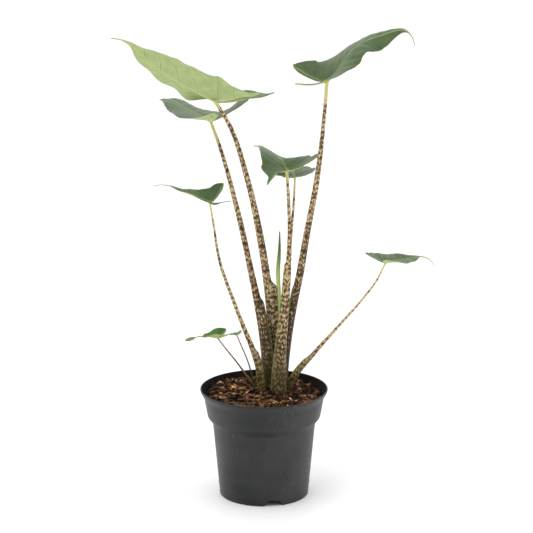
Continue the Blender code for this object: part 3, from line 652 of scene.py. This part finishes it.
def pot_outline():
    """Radii and heights, from the floor's middle up the inside, over the rim and down the outside."""
    floor_top = FLOOR_HEIGHT + FLOOR_THICKNESS
    lip = POT_WALL / 2
    heights = (floor_top, BODY_TOP[1], COLLAR_FOOT[1], COLLAR_TOP[1])
    inside = [(wall_radius(z) - POT_WALL, z) for z in heights]
    inside = rounded([(0.0, floor_top), *inside, (RIM_RADIUS - POT_WALL, POT_HEIGHT - lip)], CORNER)
    over = [
        (RIM_RADIUS - lip - lip * cos(a), POT_HEIGHT - lip + lip * sin(a))
        for a in np.linspace(0, pi, 9)[1:-1]
    ]
    outside = [(RIM_RADIUS, POT_HEIGHT - lip), (RIM_RADIUS - RIM_TAPER, POT_HEIGHT - 2 * POT_WALL)]
    outside += [COLLAR_TOP, COLLAR_FOOT, BODY_TOP]
    for rise, proud in ((RIDGE_HALF_WIDTH, 0.0), (0.0, RIDGE_SIZE), (-RIDGE_HALF_WIDTH, 0.0)):
        outside.append((wall_radius(RIDGE_HEIGHT + rise) + proud, RIDGE_HEIGHT + rise))
    outside += [(FOOT_RADIUS, 0.0), (FOOT_RADIUS - FOOT_WIDTH, 0.0)]
    outside += [(wall_radius(FLOOR_HEIGHT) - FOOT_WIDTH, FLOOR_HEIGHT), (0.0, FLOOR_HEIGHT)]
    return [*inside, *over, *rounded(outside, CORNER)]


def notch_cutter(turn):
    """Wedge with rounded top corners that cuts one notch out of the foot."""
    bm = bmesh.new()
    bmesh.ops.create_cube(bm, size=1)
    for v in bm.verts:
        v.co.x *= NOTCH_NARROW if v.co.z > 0 else 2 * NOTCH_WIDE - NOTCH_NARROW
        v.co.z = NOTCH_HEIGHT if v.co.z > 0 else -NOTCH_HEIGHT
        v.co.y *= NOTCH_DEPTH
    top = [
        e for e in bm.edges
        if all(v.co.z > 0 for v in e.verts) and e.verts[0].co.y != e.verts[1].co.y
    ]
    bmesh.ops.bevel(bm, geom=top, offset=NOTCH_ROUNDING, segments=6, affect="EDGES", profile=0.5)
    mesh = bpy.data.meshes.new("notch_cutter")
    bm.to_mesh(mesh)
    bm.free()
    cutter = placed("notch_cutter", mesh)
    place = (FOOT_RADIUS * sin(turn), -FOOT_RADIUS * cos(turn), 0)
    cutter.location = Vector(POT_AXIS) + Vector(place)
    cutter.rotation_euler.z = turn
    return cutter


def drain_cutter(turn):
    """Rod that cuts one drain hole through the floor."""
    bpy.ops.mesh.primitive_cylinder_add(vertices=32, radius=DRAIN_RADIUS, depth=4 * FLOOR_THICKNESS)
    rod = bpy.context.object
    place = (DRAIN_CIRCLE * cos(turn), DRAIN_CIRCLE * sin(turn), FLOOR_HEIGHT)
    rod.location = Vector(POT_AXIS) + Vector(place)
    return rod


def apply_modifiers(piece):
    """Bakes the piece's modifiers into its mesh."""
    graph = bpy.context.evaluated_depsgraph_get()
    mesh = bpy.data.meshes.new_from_object(piece.evaluated_get(graph))
    piece.modifiers.clear()
    piece.data = mesh


def make_pot():
    """The pot, turned round its axis, with its drain holes and the notches in its foot."""
    outline = pot_outline()
    turns = ring_turns(POT_SIDES)
    points = np.array([(r * cos(a), r * sin(a), z) for r, z in outline for a in turns])
    points, faces, _ = welded(points, grid_faces(len(outline), POT_SIDES, closed=True), {})
    skins = [plastic_material("moulded_plastic", gloss=0.42), shaded_dusty_plastic_material()]
    # the ledge under the collar gets a less glossy copy of the plastic, as painted shade
    skins.append(plastic_material("shaded_plastic", gloss=0.27))
    outer, inner, ledge = range(3)
    pot = add_piece("pot_shell", points, faces, skins)
    cutters = [notch_cutter(NOTCH_TURN + turn) for turn in ring_turns(NOTCH_COUNT)]
    cutters += [drain_cutter(turn) for turn in ring_turns(DRAIN_COUNT)]
    for cutter in cutters:
        cut = pot.modifiers.new("cut", "BOOLEAN")
        cut.operation = "DIFFERENCE"
        cut.solver = "EXACT"
        cut.object = cutter
    apply_modifiers(pot)
    for cutter in cutters:
        bpy.data.objects.remove(cutter, do_unlink=True)
    for face in pot.data.polygons:
        x, y, z = np.array(face.center) - POT_AXIS
        if hypot(x, y) < wall_radius(z) - INNER_SKIN * POT_WALL:
            face.material_index = inner if FLOOR_HEIGHT < z < POT_HEIGHT - POT_WALL else outer
        elif BODY_TOP[1] - LEDGE_MARGIN < z < COLLAR_FOOT[1]:
            face.material_index = ledge
    pot.data.shade_smooth()
    pot.data.set_sharp_from_angle(angle=SHARP_ANGLE)
    hand_over(pot, "dark_plastic", "pot")


# Stalks


def stalk_line(stalk, step, top=None):
    """Centres, diameters and frames of a stalk's rings, from its foot in the soil up."""
    route = stalk.route[::-1]
    foot = route[0].copy()
    foot[2] -= STALK_DEPTH
    foot[3] *= FOOT_TAPER
    route = np.vstack([foot, route])
    reach = np.concatenate([[0], np.cumsum(np.linalg.norm(np.diff(route[:, :3], axis=0), axis=1))])
    if top is not None:
        route[-1, :3] = top
    count = int(round(reach[-1] / step)) + 1
    s = np.linspace(0, reach[-1], count)
    here = through(reach, route, s)
    ahead = (through(reach, route, s + SLOPE_STEP) - through(reach, route, s - SLOPE_STEP))[:, :3]
    ahead /= np.linalg.norm(ahead, axis=1)[:, None]
    side = np.cross([0.0, 1.0, 0.0], ahead)
    side /= np.linalg.norm(side, axis=1)[:, None]
    return s, here[:, :3], here[:, 3], ahead, side, np.cross(ahead, side)


def ringed(s, centres, side, back, radius, turns):
    """Rings of points round a line, and each point's place on the skin, also for the ends' middles."""
    out = np.cos(turns)[None, :, None] * side[:, None] + np.sin(turns)[None, :, None] * back[:, None]
    along = np.repeat(s[:, None], len(turns), 1)
    skin = np.stack([radius * np.cos(turns), radius * np.sin(turns), along], axis=-1)
    skin = np.vstack([skin.reshape(-1, 3), skin[0, 0], skin[-1, 0]])
    return centres[:, None] + radius[..., None] * out, skin


def make_stalk(name, stalk, top, up, material, slot):
    """A tapering stalk with its sheath; top and up are the point and normal of the blade's underside."""
    s, centres, thick, ahead, side, back = stalk_line(stalk, STALK_STEP, top)
    sheath, sheath_top, sheath_facing = stalk.sheath
    turns = ring_turns(stalk.sides)
    away = (turns - radians(sheath_facing) + pi) % tau - pi
    z = centres[:, 2]
    in_sheath = smoothstep((sheath_top - z) / SHOULDER_LENGTH)[:, None]
    swell = sheath * in_sheath * np.maximum(0, np.cos(away)) ** 1.5
    fold = np.exp(-(((away - HEM_TURN) / HEM_SPREAD) ** 2))
    lap = np.exp(-(((away - HEM_TURN - 2 * HEM_SPREAD) / HEM_SPREAD) ** 2))
    hem = in_sheath * (HEM_HEIGHT * fold - HEM_HEIGHT * lap) * min(1.0, sheath / FULL_SHEATH)
    flare = smoothstep((s - s[-1] + FLARE_LENGTH) / FLARE_LENGTH)[:, None]
    radius = (thick[:, None] / 2 + swell + hem) * (1 + FLARE * flare)
    rings, skin = ringed(s, centres, side, back, radius, turns)
    lean = float(np.dot(ahead[-1], up))
    lean = copysign(max(abs(lean), LEAST_LEAN), lean)
    rings[-1] -= ahead[-1] * ((rings[-1] - top) @ up / lean)[:, None]
    high_cover, foot_cover = stalk.cover
    by_ring = {
        "plain": 1 - smoothstep((s[-1] - s - 0.35 * stalk.plain) / stalk.plain),
        "low": 1 - smoothstep((z - SOIL_LEVEL) / GREEN_FADE),
        "cover": high_cover + (foot_cover - high_cover) * (1 - smoothstep((z - SOIL_LEVEL) / COVER_FADE)),
    }
    attributes = {key: np.append(np.repeat(v, stalk.sides), (v[0], v[-1])) for key, v in by_ring.items()}
    attributes["skin"] = skin
    attributes["hem"] = np.append((in_sheath * np.clip(fold, 0, 1)).ravel(), (0, 0))
    piece = add_tube(f"{name}_petiole", rings, centres[0], rings[-1].mean(axis=0), material, attributes)
    hand_over(piece, slot, f"{name}_stalk")


def make_spear():
    """The new leaf, rolled up round itself, with one edge showing."""
    s, centres, thick, _, side, back = stalk_line(SPEAR, SPEAR_STEP)
    turns = ring_turns(SPEAR.sides)
    edge = SPEAR_EDGE + SPEAR_TWIST * (s / s[-1])
    away = (turns[None, :] - edge[:, None] + pi) % tau - pi
    lap = np.where(away > 0, np.exp(-away / 0.9), 0.0)
    radius = thick[:, None] / 2 * (0.9 + 0.22 * lap)
    rings, skin = ringed(s, centres, side, back, radius, turns)
    pale = smoothstep((np.cos(turns - SPEAR_PALE_SIDE) - 0.15) / 0.4)
    pale = pale * smoothstep((SPEAR_PALE_TOP - centres[:, 2]) / 0.05)[:, None]
    attributes = {"skin": skin, "hem": np.append(pale.ravel(), (0, 0))}
    piece = add_tube("rolled_leaf", rings, centres[0], centres[-1], spear_material(), attributes)
    hand_over(piece, "leaf_green", "rolled_new_leaf")


# Leaves


class Midrib:
    """The line that a leaf is bent along, and its frame; p is a place on it, in lengths from the stalk."""

    STEP = 0.004

    def __init__(self, leaf, attach):
        self.leaf = leaf
        self.places = np.arange(-0.8, 1.1 + leaf.drip / leaf.length, self.STEP)
        directions = self.frame(self.places + self.STEP / 2)[0]
        self.line = np.vstack([[0, 0, 0], np.cumsum(directions[:-1] * self.STEP * leaf.length, axis=0)])
        self.line = self.line - self.at(0.0) + np.array(attach)

    def at(self, p):
        """The point on the line."""
        return np.stack([np.interp(p, self.places, self.line[:, k]) for k in range(3)], axis=-1)

    def frame(self, p):
        """Directions ahead, to the left and up."""
        leaf = self.leaf
        climb = np.radians(through(CLIMB_PLACES, leaf.climb, p))
        turn = leaf.drip_turn * smoothstep((p - DRIP_BEND) / DRIP_BEND_LENGTH)
        heading = np.radians(leaf.heading + turn)
        level = np.cos(climb)
        ahead = np.stack([np.cos(heading) * level, np.sin(heading) * level, np.sin(climb)], axis=-1)
        left = np.stack([-np.sin(heading), np.cos(heading), 0 * heading], axis=-1)
        return ahead, left, np.cross(ahead, left)

    def rise(self, p, hand):
        """How far a half is raised, in radians."""
        leaf = self.leaf
        left, right = (np.radians(through(RISE_PLACES, rise, p)) for rise in (leaf.left, leaf.right))
        own = left if hand > 0 else right
        flat = hand * (left - right) / 2
        return own + (flat - own) * smoothstep((p - FLAT_FROM) / (1 - FLAT_FROM))

    def normal(self, p):
        _, left, up = self.frame(p)
        roll = (self.rise(p, 1) - self.rise(p, -1)) / 2
        return up * cos(roll) - left * sin(roll)

    def points(self, p, across, hand, lift):
        """Points of the upper face; hand is 1 on the midrib's left and -1 on its right."""
        _, left, up = self.frame(p)
        angle = self.rise(p, hand)
        level = (hand * across * np.cos(angle))[..., None]
        raised = (across * np.sin(angle) + lift)[..., None]
        return self.at(p) + left * level + up * raised


def scaled(leaf, hand, along, across):
    """Places on the standard leaf turned into along, in lengths, and across, in metres."""
    wide = leaf.half_width / HALF_WIDTH
    slim, spread = (pair[0 if hand > 0 else 1] for pair in (leaf.slim, leaf.spread))
    deep = leaf.lobes / leaf.length / LOBE_LENGTH
    behind = np.maximum(SINUS - along, 0.0)
    kept = 1 - slim * smoothstep(behind / 0.3)
    return along - behind * (deep - 1), (across * kept + behind * spread) * wide


def column_shares(count, power):
    """Shares of the way from a rib to the margin, close at the rib, with one just inside the margin."""
    shares = (np.arange(count + 1) / count) ** power
    return np.sort(np.append(shares, 0.985))


def vein_reach(across):
    """How far forward a lateral vein has gone at a distance from the midrib, both in lengths."""
    return 0.5 * across + 0.9 * across**2


def outward_shares(leaf, step):
    """Columns from the midrib to the outer margin."""
    return column_shares(max(8, int(leaf.half_width / step / 1.4)), 1.4)


def lobe_rows(leaf, hand, step):
    """The rear lobe's half as arrays of rows and columns, from the lobe's tip to the stalk."""
    rows = int(leaf.lobes / step)
    t = (np.arange(rows + 1) / rows)[:, None] ** 1.3
    outward = outward_shares(leaf, step)
    inward = column_shares(max(5, int(leaf.half_width / step / 5)), 1.2)
    share = np.concatenate([-inward[:0:-1], outward])[None, :]
    ends = np.linspace(0, 1, len(OUTER_BACK))
    tip, root = np.array(OUTER_BACK[0]), np.array((SINUS, 0.0))
    costa = tip * (1 - t) + root * t
    outer, inner = through(ends, OUTER_BACK, t[:, 0]), through(ends, INNER, t[:, 0])
    bulge = np.sqrt(np.maximum(LOBE_ROUNDING / np.maximum(t, 1e-4), 1))
    far = np.where(share[..., None] > 0, outer[:, None], inner[:, None])
    place = costa[:, None] + (far - costa[:, None]) * (np.abs(share) * bulge)[..., None]
    (along, across), (costa_along, costa_across), (far_along, far_across) = (
        scaled(leaf, hand, p[..., 0], p[..., 1]) for p in (place, costa[:, None], far)
    )
    out = np.hypot((along - costa_along) * leaf.length, across - costa_across)
    full = np.hypot((far_along - costa_along) * leaf.length, far_across - costa_across)
    back = np.hypot((costa_along - SINUS) * leaf.length, costa_across) / leaf.length
    b = out / leaf.length
    bend = 0.25 * b + 0.3 * b**2 + LEAST
    spacing = 1.0 / leaf.veins
    away = back - bend
    outer_phase = np.where(away > 0, -2 - away / spacing, -1 - back / bend)
    phase = np.where(share > 0, outer_phase, -2 - back / spacing)
    gap = np.where((share > 0) & (away <= 0), bend, spacing) * leaf.length
    return {
        "along": along, "across": across, "share": share, "place": LOBE_MARGIN * t,
        "vein": phase, "vein_gap": gap, "margin": np.maximum(full - out, 0), "rib": out,
    }


def front_rows(leaf, hand, step):
    """The rest of the half, from the stalk to the end of the drip tip."""
    count = int(leaf.length / step)
    x = np.arange(count + 1) / count
    p = SINUS + (1 - SINUS) * x * (1.3 - 0.3 * x)
    shape = np.array(OUTER_FRONT)
    width = through(shape[:, 0], shape[:, 1], p) * leaf.half_width / HALF_WIDTH
    neck = leaf.drip_width * (LEAFLET_NECK if leaf.leaflet else 1.0)
    necked = np.hypot(width, neck * smoothstep((p - NECK_FROM) / NECK_LENGTH))
    width = np.where(p > NECK_FROM, necked, width)
    drip_count = max(8, int(leaf.drip / step * 1.3))
    d = np.arange(1, drip_count + 1) / drip_count
    start = width[-1]
    drip_width = neck * (1 - 0.45 * d**2) * np.sqrt(np.clip((1 - d) / 0.12, 0.02, 1))
    drip_width += (start - neck) * (1 - smoothstep(d / 0.25))
    if leaf.leaflet:
        leaflet = np.clip((d - LEAFLET_FROM) / (1 - LEAFLET_FROM), 0, 1)
        drip_width += leaf.drip_width * np.sin(pi * leaflet) ** 0.8
    p = np.concatenate([p, 1 + leaf.drip / leaf.length * d])[:, None]
    width = np.concatenate([width, drip_width])[:, None]
    share = outward_shares(leaf, step)[None, :]
    across = width * share
    a = across / leaf.length
    reach = vein_reach(a) + LEAST
    ahead = p - SINUS - reach
    spacing = 1.0 / leaf.veins
    phase = np.where(ahead > 0, ahead / spacing, ahead / reach)
    gap = np.where(ahead > 0, spacing, reach) * leaf.length
    along = np.broadcast_to(p, across.shape)
    return {
        "along": along, "across": across, "share": share,
        "place": LOBE_MARGIN + (1 - LOBE_MARGIN) * np.clip(along, 0, 1), "vein": phase, "vein_gap": gap,
        "margin": width * (1 - share), "rib": across,
    }


def leaf_lift(leaf, rows, hand, phase_start):
    """Height of the margin's waves, the bulges between the veins and the furrow over the midrib."""
    height, count = leaf.wave[:2]
    height *= 1.0 if hand > 0 else leaf.right_wave
    place, share, along = rows["place"], np.abs(rows["share"]), rows["along"]
    calm = np.sin(pi * np.clip(place, 0, 1)) ** 0.6
    wave = height * calm * np.sin(tau * (count * place + phase_start)) * share**1.6
    distance = np.abs((rows["vein"] + 0.5) % 1 - 0.5)
    size = leaf.half_width / BIG_LEAF
    inner = smoothstep(rows["margin"] / QUILT_MARGIN) * smoothstep(rows["rib"] / QUILT_RIB)
    quilt = QUILT * size * np.sin(pi * distance) ** 1.5 * inner
    quilt *= smoothstep(rows["vein_gap"] / QUILT_GAP)
    before_tip = smoothstep((1 - along) / 0.3)
    furrow = -MIDRIB_FURROW * size * np.exp(-((rows["rib"] / FURROW_WIDTH) ** 2)) * before_tip
    camber = CAMBER * leaf.half_width * np.sin(pi * share) * before_tip
    camber = camber * (rows["share"] > 0) * smoothstep((along - SINUS) / 0.12)
    return wave + quilt + furrow + camber


def scalloped(leaf, rows):
    """Distance from the midrib with the margin drawn in at each lateral vein."""
    distance = np.abs((rows["vein"] + 0.5) % 1 - 0.5)
    bulge = SCALLOP * (np.sin(pi * distance) - 0.6) * np.abs(rows["share"]) ** 5
    bulge *= smoothstep((rows["place"] - LOBE_MARGIN) / 0.08) * smoothstep((0.92 - rows["along"]) / 0.1)
    return rows["across"] * (1 + bulge)


def make_leaf(name, leaf, attach, materials):
    """A closed leaf with its ribs; returns the midrib, for the stalk to end at."""
    midrib = Midrib(leaf, attach)
    step = LEAF_STEP * (leaf.half_width / BIG_LEAF) ** 0.5
    parts, faces, start = [], [], 0
    rib_size = min(1.0, leaf.half_width / FULL_RIB)
    for hand, phase_start in ((1, leaf.wave[2]), (-1, leaf.wave[3])):
        for make_rows in (lobe_rows, front_rows):
            rows = make_rows(leaf, hand, step)
            along, across = rows["along"], rows["across"]
            lift = leaf_lift(leaf, rows, hand, phase_start)
            fade = np.clip(1 - 0.8 * np.abs(along), 0.05, 1)
            half_width = RIB_HALF_WIDTH * rib_size * fade**0.5
            ridge = np.clip(1 - (rows["rib"] / half_width) ** 2, 0, 1) ** 0.8
            # the left rear lobe is drawn brighter, in a young leaf's green
            fresh = (hand > 0) * smoothstep((BRIGHT_LOBE_FROM - along) / BRIGHT_LOBE_LENGTH)
            part = {
                "points": midrib.points(along, scalloped(leaf, rows), hand, lift),
                "flat": np.stack([along * leaf.length, hand * across, 0 * lift], axis=-1),
                "ridge": ridge * (np.where(along < SINUS, 0.6, 1.0) * rib_size * fade),
                "heart": np.hypot(along * leaf.length, across),
                "youth": leaf.youth + leaf.bright_lobe * fresh,
                **{key: rows[key] for key in ("vein", "vein_gap", "margin", "rib")},
            }
            parts.append({key: v.reshape(across.size, *v.shape[2:]) for key, v in part.items()})
            faces += grid_faces(*across.shape, start=start, flip=hand > 0)
            start += across.size
    joined = {key: np.concatenate([part[key] for part in parts]) for key in parts[0]}
    points, faces, joined = welded(joined.pop("points"), faces, joined)
    ridge = joined.pop("ridge")
    piece = add_piece(f"{name}_leaf", points, faces, materials, joined)
    group = piece.vertex_groups.new(name="ridge")
    for k in np.nonzero(ridge)[0]:
        group.add([int(k)], float(ridge[k]), "REPLACE")
    solid = piece.modifiers.new("thickness", "SOLIDIFY")
    solid.thickness = RIB_THICKNESS
    solid.offset = -1
    solid.use_even_offset = False
    solid.vertex_group = "ridge"
    solid.thickness_vertex_group = LEAF_THICKNESS / RIB_THICKNESS
    solid.material_offset = 1
    solid.material_offset_rim = 2
    hand_over(piece, "leaf_green", f"{name}_blade")
    return midrib


# Soil


def soil_height(x, y):
    """Height of the soil's lumpy top."""
    heap = 0.0
    for centre, radius, height in HEAPS:
        heap += height * exp(-((x - centre[0]) ** 2 + (y - centre[1]) ** 2) / radius**2)
    coarse = noise.noise(Vector((x, y, 0.3)) * LUMP_COARSE)
    fine = noise.noise(Vector((x, y, 7.1)) * LUMP_FINE)
    return SOIL_LEVEL + heap + SOIL_LUMPS * (coarse + 0.6 * fine)


def make_bed():
    """The packed soil that fills the pot, with a crumbly top."""
    turns = ring_turns(BED_SIDES)
    rings = []
    floor = FLOOR_HEIGHT + FLOOR_THICKNESS + BED_GAP
    for height in (floor, BODY_TOP[1], COLLAR_FOOT[1], SOIL_LEVEL - BED_SHOULDER):
        radius = wall_radius(height) - POT_WALL - BED_GAP
        rings.append([(radius * cos(a), radius * sin(a), height) for a in turns])
    top_radius = wall_radius(SOIL_LEVEL) - POT_WALL - 2 * BED_GAP
    for k in range(BED_RINGS):
        radius = top_radius * (1 - k / BED_RINGS)
        ring = []
        for a in turns:
            x, y = radius * cos(a), radius * sin(a)
            crumbs = noise.noise(Vector((x, y, 3.3)) * BED_CRUMB_PITCH) * BED_CRUMBS
            ring.append((x, y, soil_height(x, y) - BED_DROP + crumbs))
        rings.append(ring)
    foot, top = (0.0, 0.0, rings[0][0][2]), (0.0, 0.0, soil_height(0, 0) - BED_DROP)
    bed = add_tube("soil_bed", np.array(rings), foot, top, bed_material())
    hand_over(bed, "bark_and_coir", "soil")


def scatter(rng, count, clear, rim_gap):
    """Random places on the soil, clear of the stalks and of the wall."""
    feet = [stalk.route[-1] for stalk in (*STALKS.values(), SPEAR)]
    reach = wall_radius(SOIL_LEVEL) - POT_WALL - rim_gap
    made = []
    while len(made) < count:
        x, y = rng.uniform(-reach, reach, 2)
        free = all(hypot(x - foot[0], y - foot[1]) >= foot[3] / 2 * clear for foot in feet)
        if free and hypot(x, y) <= reach:
            made.append((x, y, soil_height(x, y)))
    return made


def inside_pot(points):
    """Points pushed in towards the pot's axis where they would pierce its wall."""
    radius = np.hypot(points[:, 0], points[:, 1])
    limit = wall_radius(points[:, 2]) - POT_WALL - BIT_GAP
    scale = np.minimum(1, limit / np.maximum(radius, LEAST))[:, None]
    return np.hstack([points[:, :2] * scale, points[:, 2:]])


def turned(yaw, pitch, roll):
    return np.array(Euler((roll, pitch, yaw), "XYZ").to_matrix())


def strew(name, seed, spots, sides, make_bit, material, smooth=False):
    """One mesh of many small lofted bits; spots are scatter's count, clearance and gap to the wall."""
    rng = np.random.default_rng(seed)
    angles = ring_turns(sides)
    points, faces, grain, tone = [], [], [], []
    for spot in scatter(rng, *spots):
        rings, turn, place, shade = make_bit(rng, angles, *spot)
        start = len(points)
        flat = rings.reshape(-1, 3)
        points += list(inside_pot(flat @ turn.T + place))
        grain += list(flat + place * GRAIN_SHIFT)
        tone += [shade] * len(flat)
        faces += grid_faces(len(rings), sides, start=start, closed=True)
        faces.append(tuple(range(start, start + sides))[::-1])
        faces.append(tuple(range(len(points) - sides, len(points))))
    attributes = {"grain": np.array(grain), "tone": np.array(tone)}
    piece = add_piece(name, np.array(points), faces, [material], attributes, smooth)
    hand_over(piece, "bark_and_coir")


def chunk(t, ring, angles, length, width, depth):
    """Rings of a rough bit along x; ring gives each point's share of the half width and depth."""
    along = np.repeat(t[:, None] * length / 2, len(angles), 1)
    wide, deep = ring * np.cos(angles) * width / 2, ring * np.sin(angles) * depth / 2
    return np.stack([along, wide, deep], axis=-1)


def chip_tone(rng):
    return float(np.clip(rng.beta(1.4, 2.0), 0, 1))


def bark_chip(rng, angles, x, y, z):
    """A chip or nugget of bark, flat and rough, lying any way."""
    rows, sides = 4, len(angles)
    length = rng.gamma(3.0, 0.0014) + 0.0018
    width = length * rng.uniform(0.16, 0.48)
    depth = width * rng.uniform(0.3, 0.8)
    t = np.linspace(-1, 1, rows)
    taper = (1 - 0.75 * np.abs(t) ** rng.uniform(1.8, 4)) * rng.uniform(0.8, 1.2, rows)
    ring = rng.uniform(0.72, 1.2, (rows, sides)) * taper[:, None]
    bend = rng.uniform(-0.25, 0.25) * length * t**2
    rings = chunk(t, ring, angles, length, width, depth)
    rings[..., 0] += rng.uniform(-0.06, 0.06, (rows, sides)) * length
    rings[..., 1] += bend[:, None]
    turn = turned(rng.uniform(0, tau), rng.normal(0, 0.42), rng.uniform(-0.9, 0.9))
    lift = rng.uniform(-0.4, 1.3) * depth
    return rings, turn, np.array((x, y, z + lift - CHIP_SINK)), chip_tone(rng)


def coir_fibre(rng, angles, x, y, z):
    """A thin, curly strand of coir."""
    length = rng.uniform(0.004, 0.02)
    thick = rng.uniform(0.00016, 0.00042)
    t = np.linspace(-0.5, 0.5, 10)
    curl = rng.normal(0, 0.16, 3) * length
    line = np.stack([
        t * length,
        curl[0] * (4 * t**2) + curl[1] * np.sin(7 * t),
        0.0009 - curl[2] * 0.3 * (4 * t**2 - 0.3),
    ], axis=-1)
    ring = np.stack([0 * angles, np.cos(angles), np.sin(angles)], axis=-1) * thick
    taper = 1 - 0.7 * (2 * np.abs(t)) ** 3
    turn = turned(rng.uniform(0, tau), rng.normal(0, 0.14), 0.0)
    rings = line[:, None] + ring * taper[:, None, None]
    return rings, turn, np.array((x, y, z)), rng.uniform(0.05, 0.95)


def crumb(rng, angles, x, y, z):
    """A small crumb that fills a gap between the chips."""
    size = rng.uniform(0.0007, 0.0022)
    ring = rng.uniform(0.6, 1.2, (3, len(angles))) * np.array((0.6, 1.0, 0.55))[:, None]
    rings = chunk(np.array((-0.8, 0.0, 0.8)), ring, angles, size, size, size)
    turn = turned(*rng.uniform(0, tau, 3))
    return rings, turn, np.array((x, y, z + 0.0002)), chip_tone(rng) * 0.85


def strew_bits():
    """Bark chips, coir fibres and crumbs."""
    bark = bark_material(
        "bark", (0.0, (0.005, 0.003, 0.002)), (0.4, (0.02, 0.009, 0.005)), (0.6, (0.1, 0.038, 0.015)),
        (0.78, (0.46, 0.19, 0.065)), (1.0, (0.9, 0.56, 0.29)),
    )
    coir = bark_material(
        "coir", (0.0, (0.015, 0.007, 0.004)), (0.5, (0.11, 0.045, 0.02)), (1.0, (0.72, 0.45, 0.26)),
    )
    crumbs = bark_material(
        "crumb", (0.0, (0.008, 0.004, 0.003)), (0.5, (0.05, 0.02, 0.011)), (1.0, (0.3, 0.14, 0.07)),
    )
    strew("bark_chips", 11, (CHIP_COUNT, 1.0, 0.003), 6, bark_chip, bark)
    strew("coir_fibres", 23, (FIBRE_COUNT, 1.05, 0.008), 4, coir_fibre, coir, smooth=True)
    strew("soil_crumbs", 37, (CRUMB_COUNT, 1.0, 0.002), 5, crumb, crumbs)


# Room


def make_floor():
    """A white floor that reaches past every view."""
    bpy.ops.mesh.primitive_plane_add(size=30, location=(0, 2.0, 0))
    floor = bpy.context.object
    floor.name = "floor"
    m = Nodes("floor")
    shade = m.noise(m.place(), 1.5, 2)
    white = m.ramp(shade, (0.3, (0.93, 0.93, 0.93)), (0.7, (0.95, 0.95, 0.95)))
    floor.data.materials.append(m.finish(white, 0.6))


def softbox(name, place, size, power):
    """A square light that is aimed at the plant."""
    light = bpy.data.lights.new(name, "AREA")
    light.shape = "SQUARE"
    light.size = size
    light.energy = power
    lamp = placed(name, light)
    lamp.location = place
    lamp.rotation_euler = (Vector(LIGHTS_AIM) - Vector(place)).to_track_quat("-Z", "Y").to_euler()


def light_room():
    """A white surround, dimmer in front of the plant than behind it, and two softboxes."""
    bpy.context.scene.view_settings.view_transform = "Standard"
    sky = Nodes("studio", "worlds", "Background")
    bpy.context.scene.world = sky.owner
    depth = sky.new("SeparateXYZ", {0: sky.place("Generated")}, "Y")
    strength = sky.between(depth, -1.0, 0.3, FRONT_LIGHT, BACK_LIGHT)
    sky.feed(sky.shader.inputs, {"Strength": strength, "Color": (1.0, 1.0, 1.0)})
    softbox("top_light", (-0.6, -0.9, 2.2), 1.4, 17)
    softbox("right_light", (1.9, -0.9, 1.0), 1.2, 7)


def make_camera():
    """The photo's viewpoint: 3 m in front of the pot, over the leaves, with a long lens."""
    camera = placed("camera", bpy.data.cameras.new("camera"))
    camera.location = Vector(POT_AXIS) + Vector(CAMERA_PLACE)
    camera.rotation_euler = (radians(90 - CAMERA_DOWN), 0, 0)
    camera.data.sensor_width = 36
    camera.data.lens = CAMERA_LENS
    camera.data.clip_end = 50
    bpy.context.scene.camera = camera


make_camera()
make_floor()
light_room()
make_pot()
make_bed()
strew_bits()

LEAF_MATERIALS = [leaf_top_material(), leaf_under_material(), leaf_edge_material()]
TAN, BROWN, DARK = (0.76, 0.61, 0.345), (0.235, 0.13, 0.052), (0.044, 0.029, 0.015)
STRIPED = stalk_material("striped_stalk_skin", TAN, BROWN, DARK, (0.62, 0.62, 0.19))
REDDISH = stalk_material(
    "reddish_stalk_skin", (0.42, 0.24, 0.17), (0.24, 0.09, 0.06), (0.1, 0.04, 0.03), (0.34, 0.28, 0.12),
)
for name, leaf in LEAVES.items():
    attach = STALKS[name].route[0, :3]
    up = make_leaf(name, leaf, attach, LEAF_MATERIALS).normal(np.array(0.0))
    look = (REDDISH, "reddish_stalk") if name.startswith("tiny") else (STRIPED, "striped_stalk")
    make_stalk(name, STALKS[name], attach - up * BLADE_SEAT, up, *look)
make_spear()
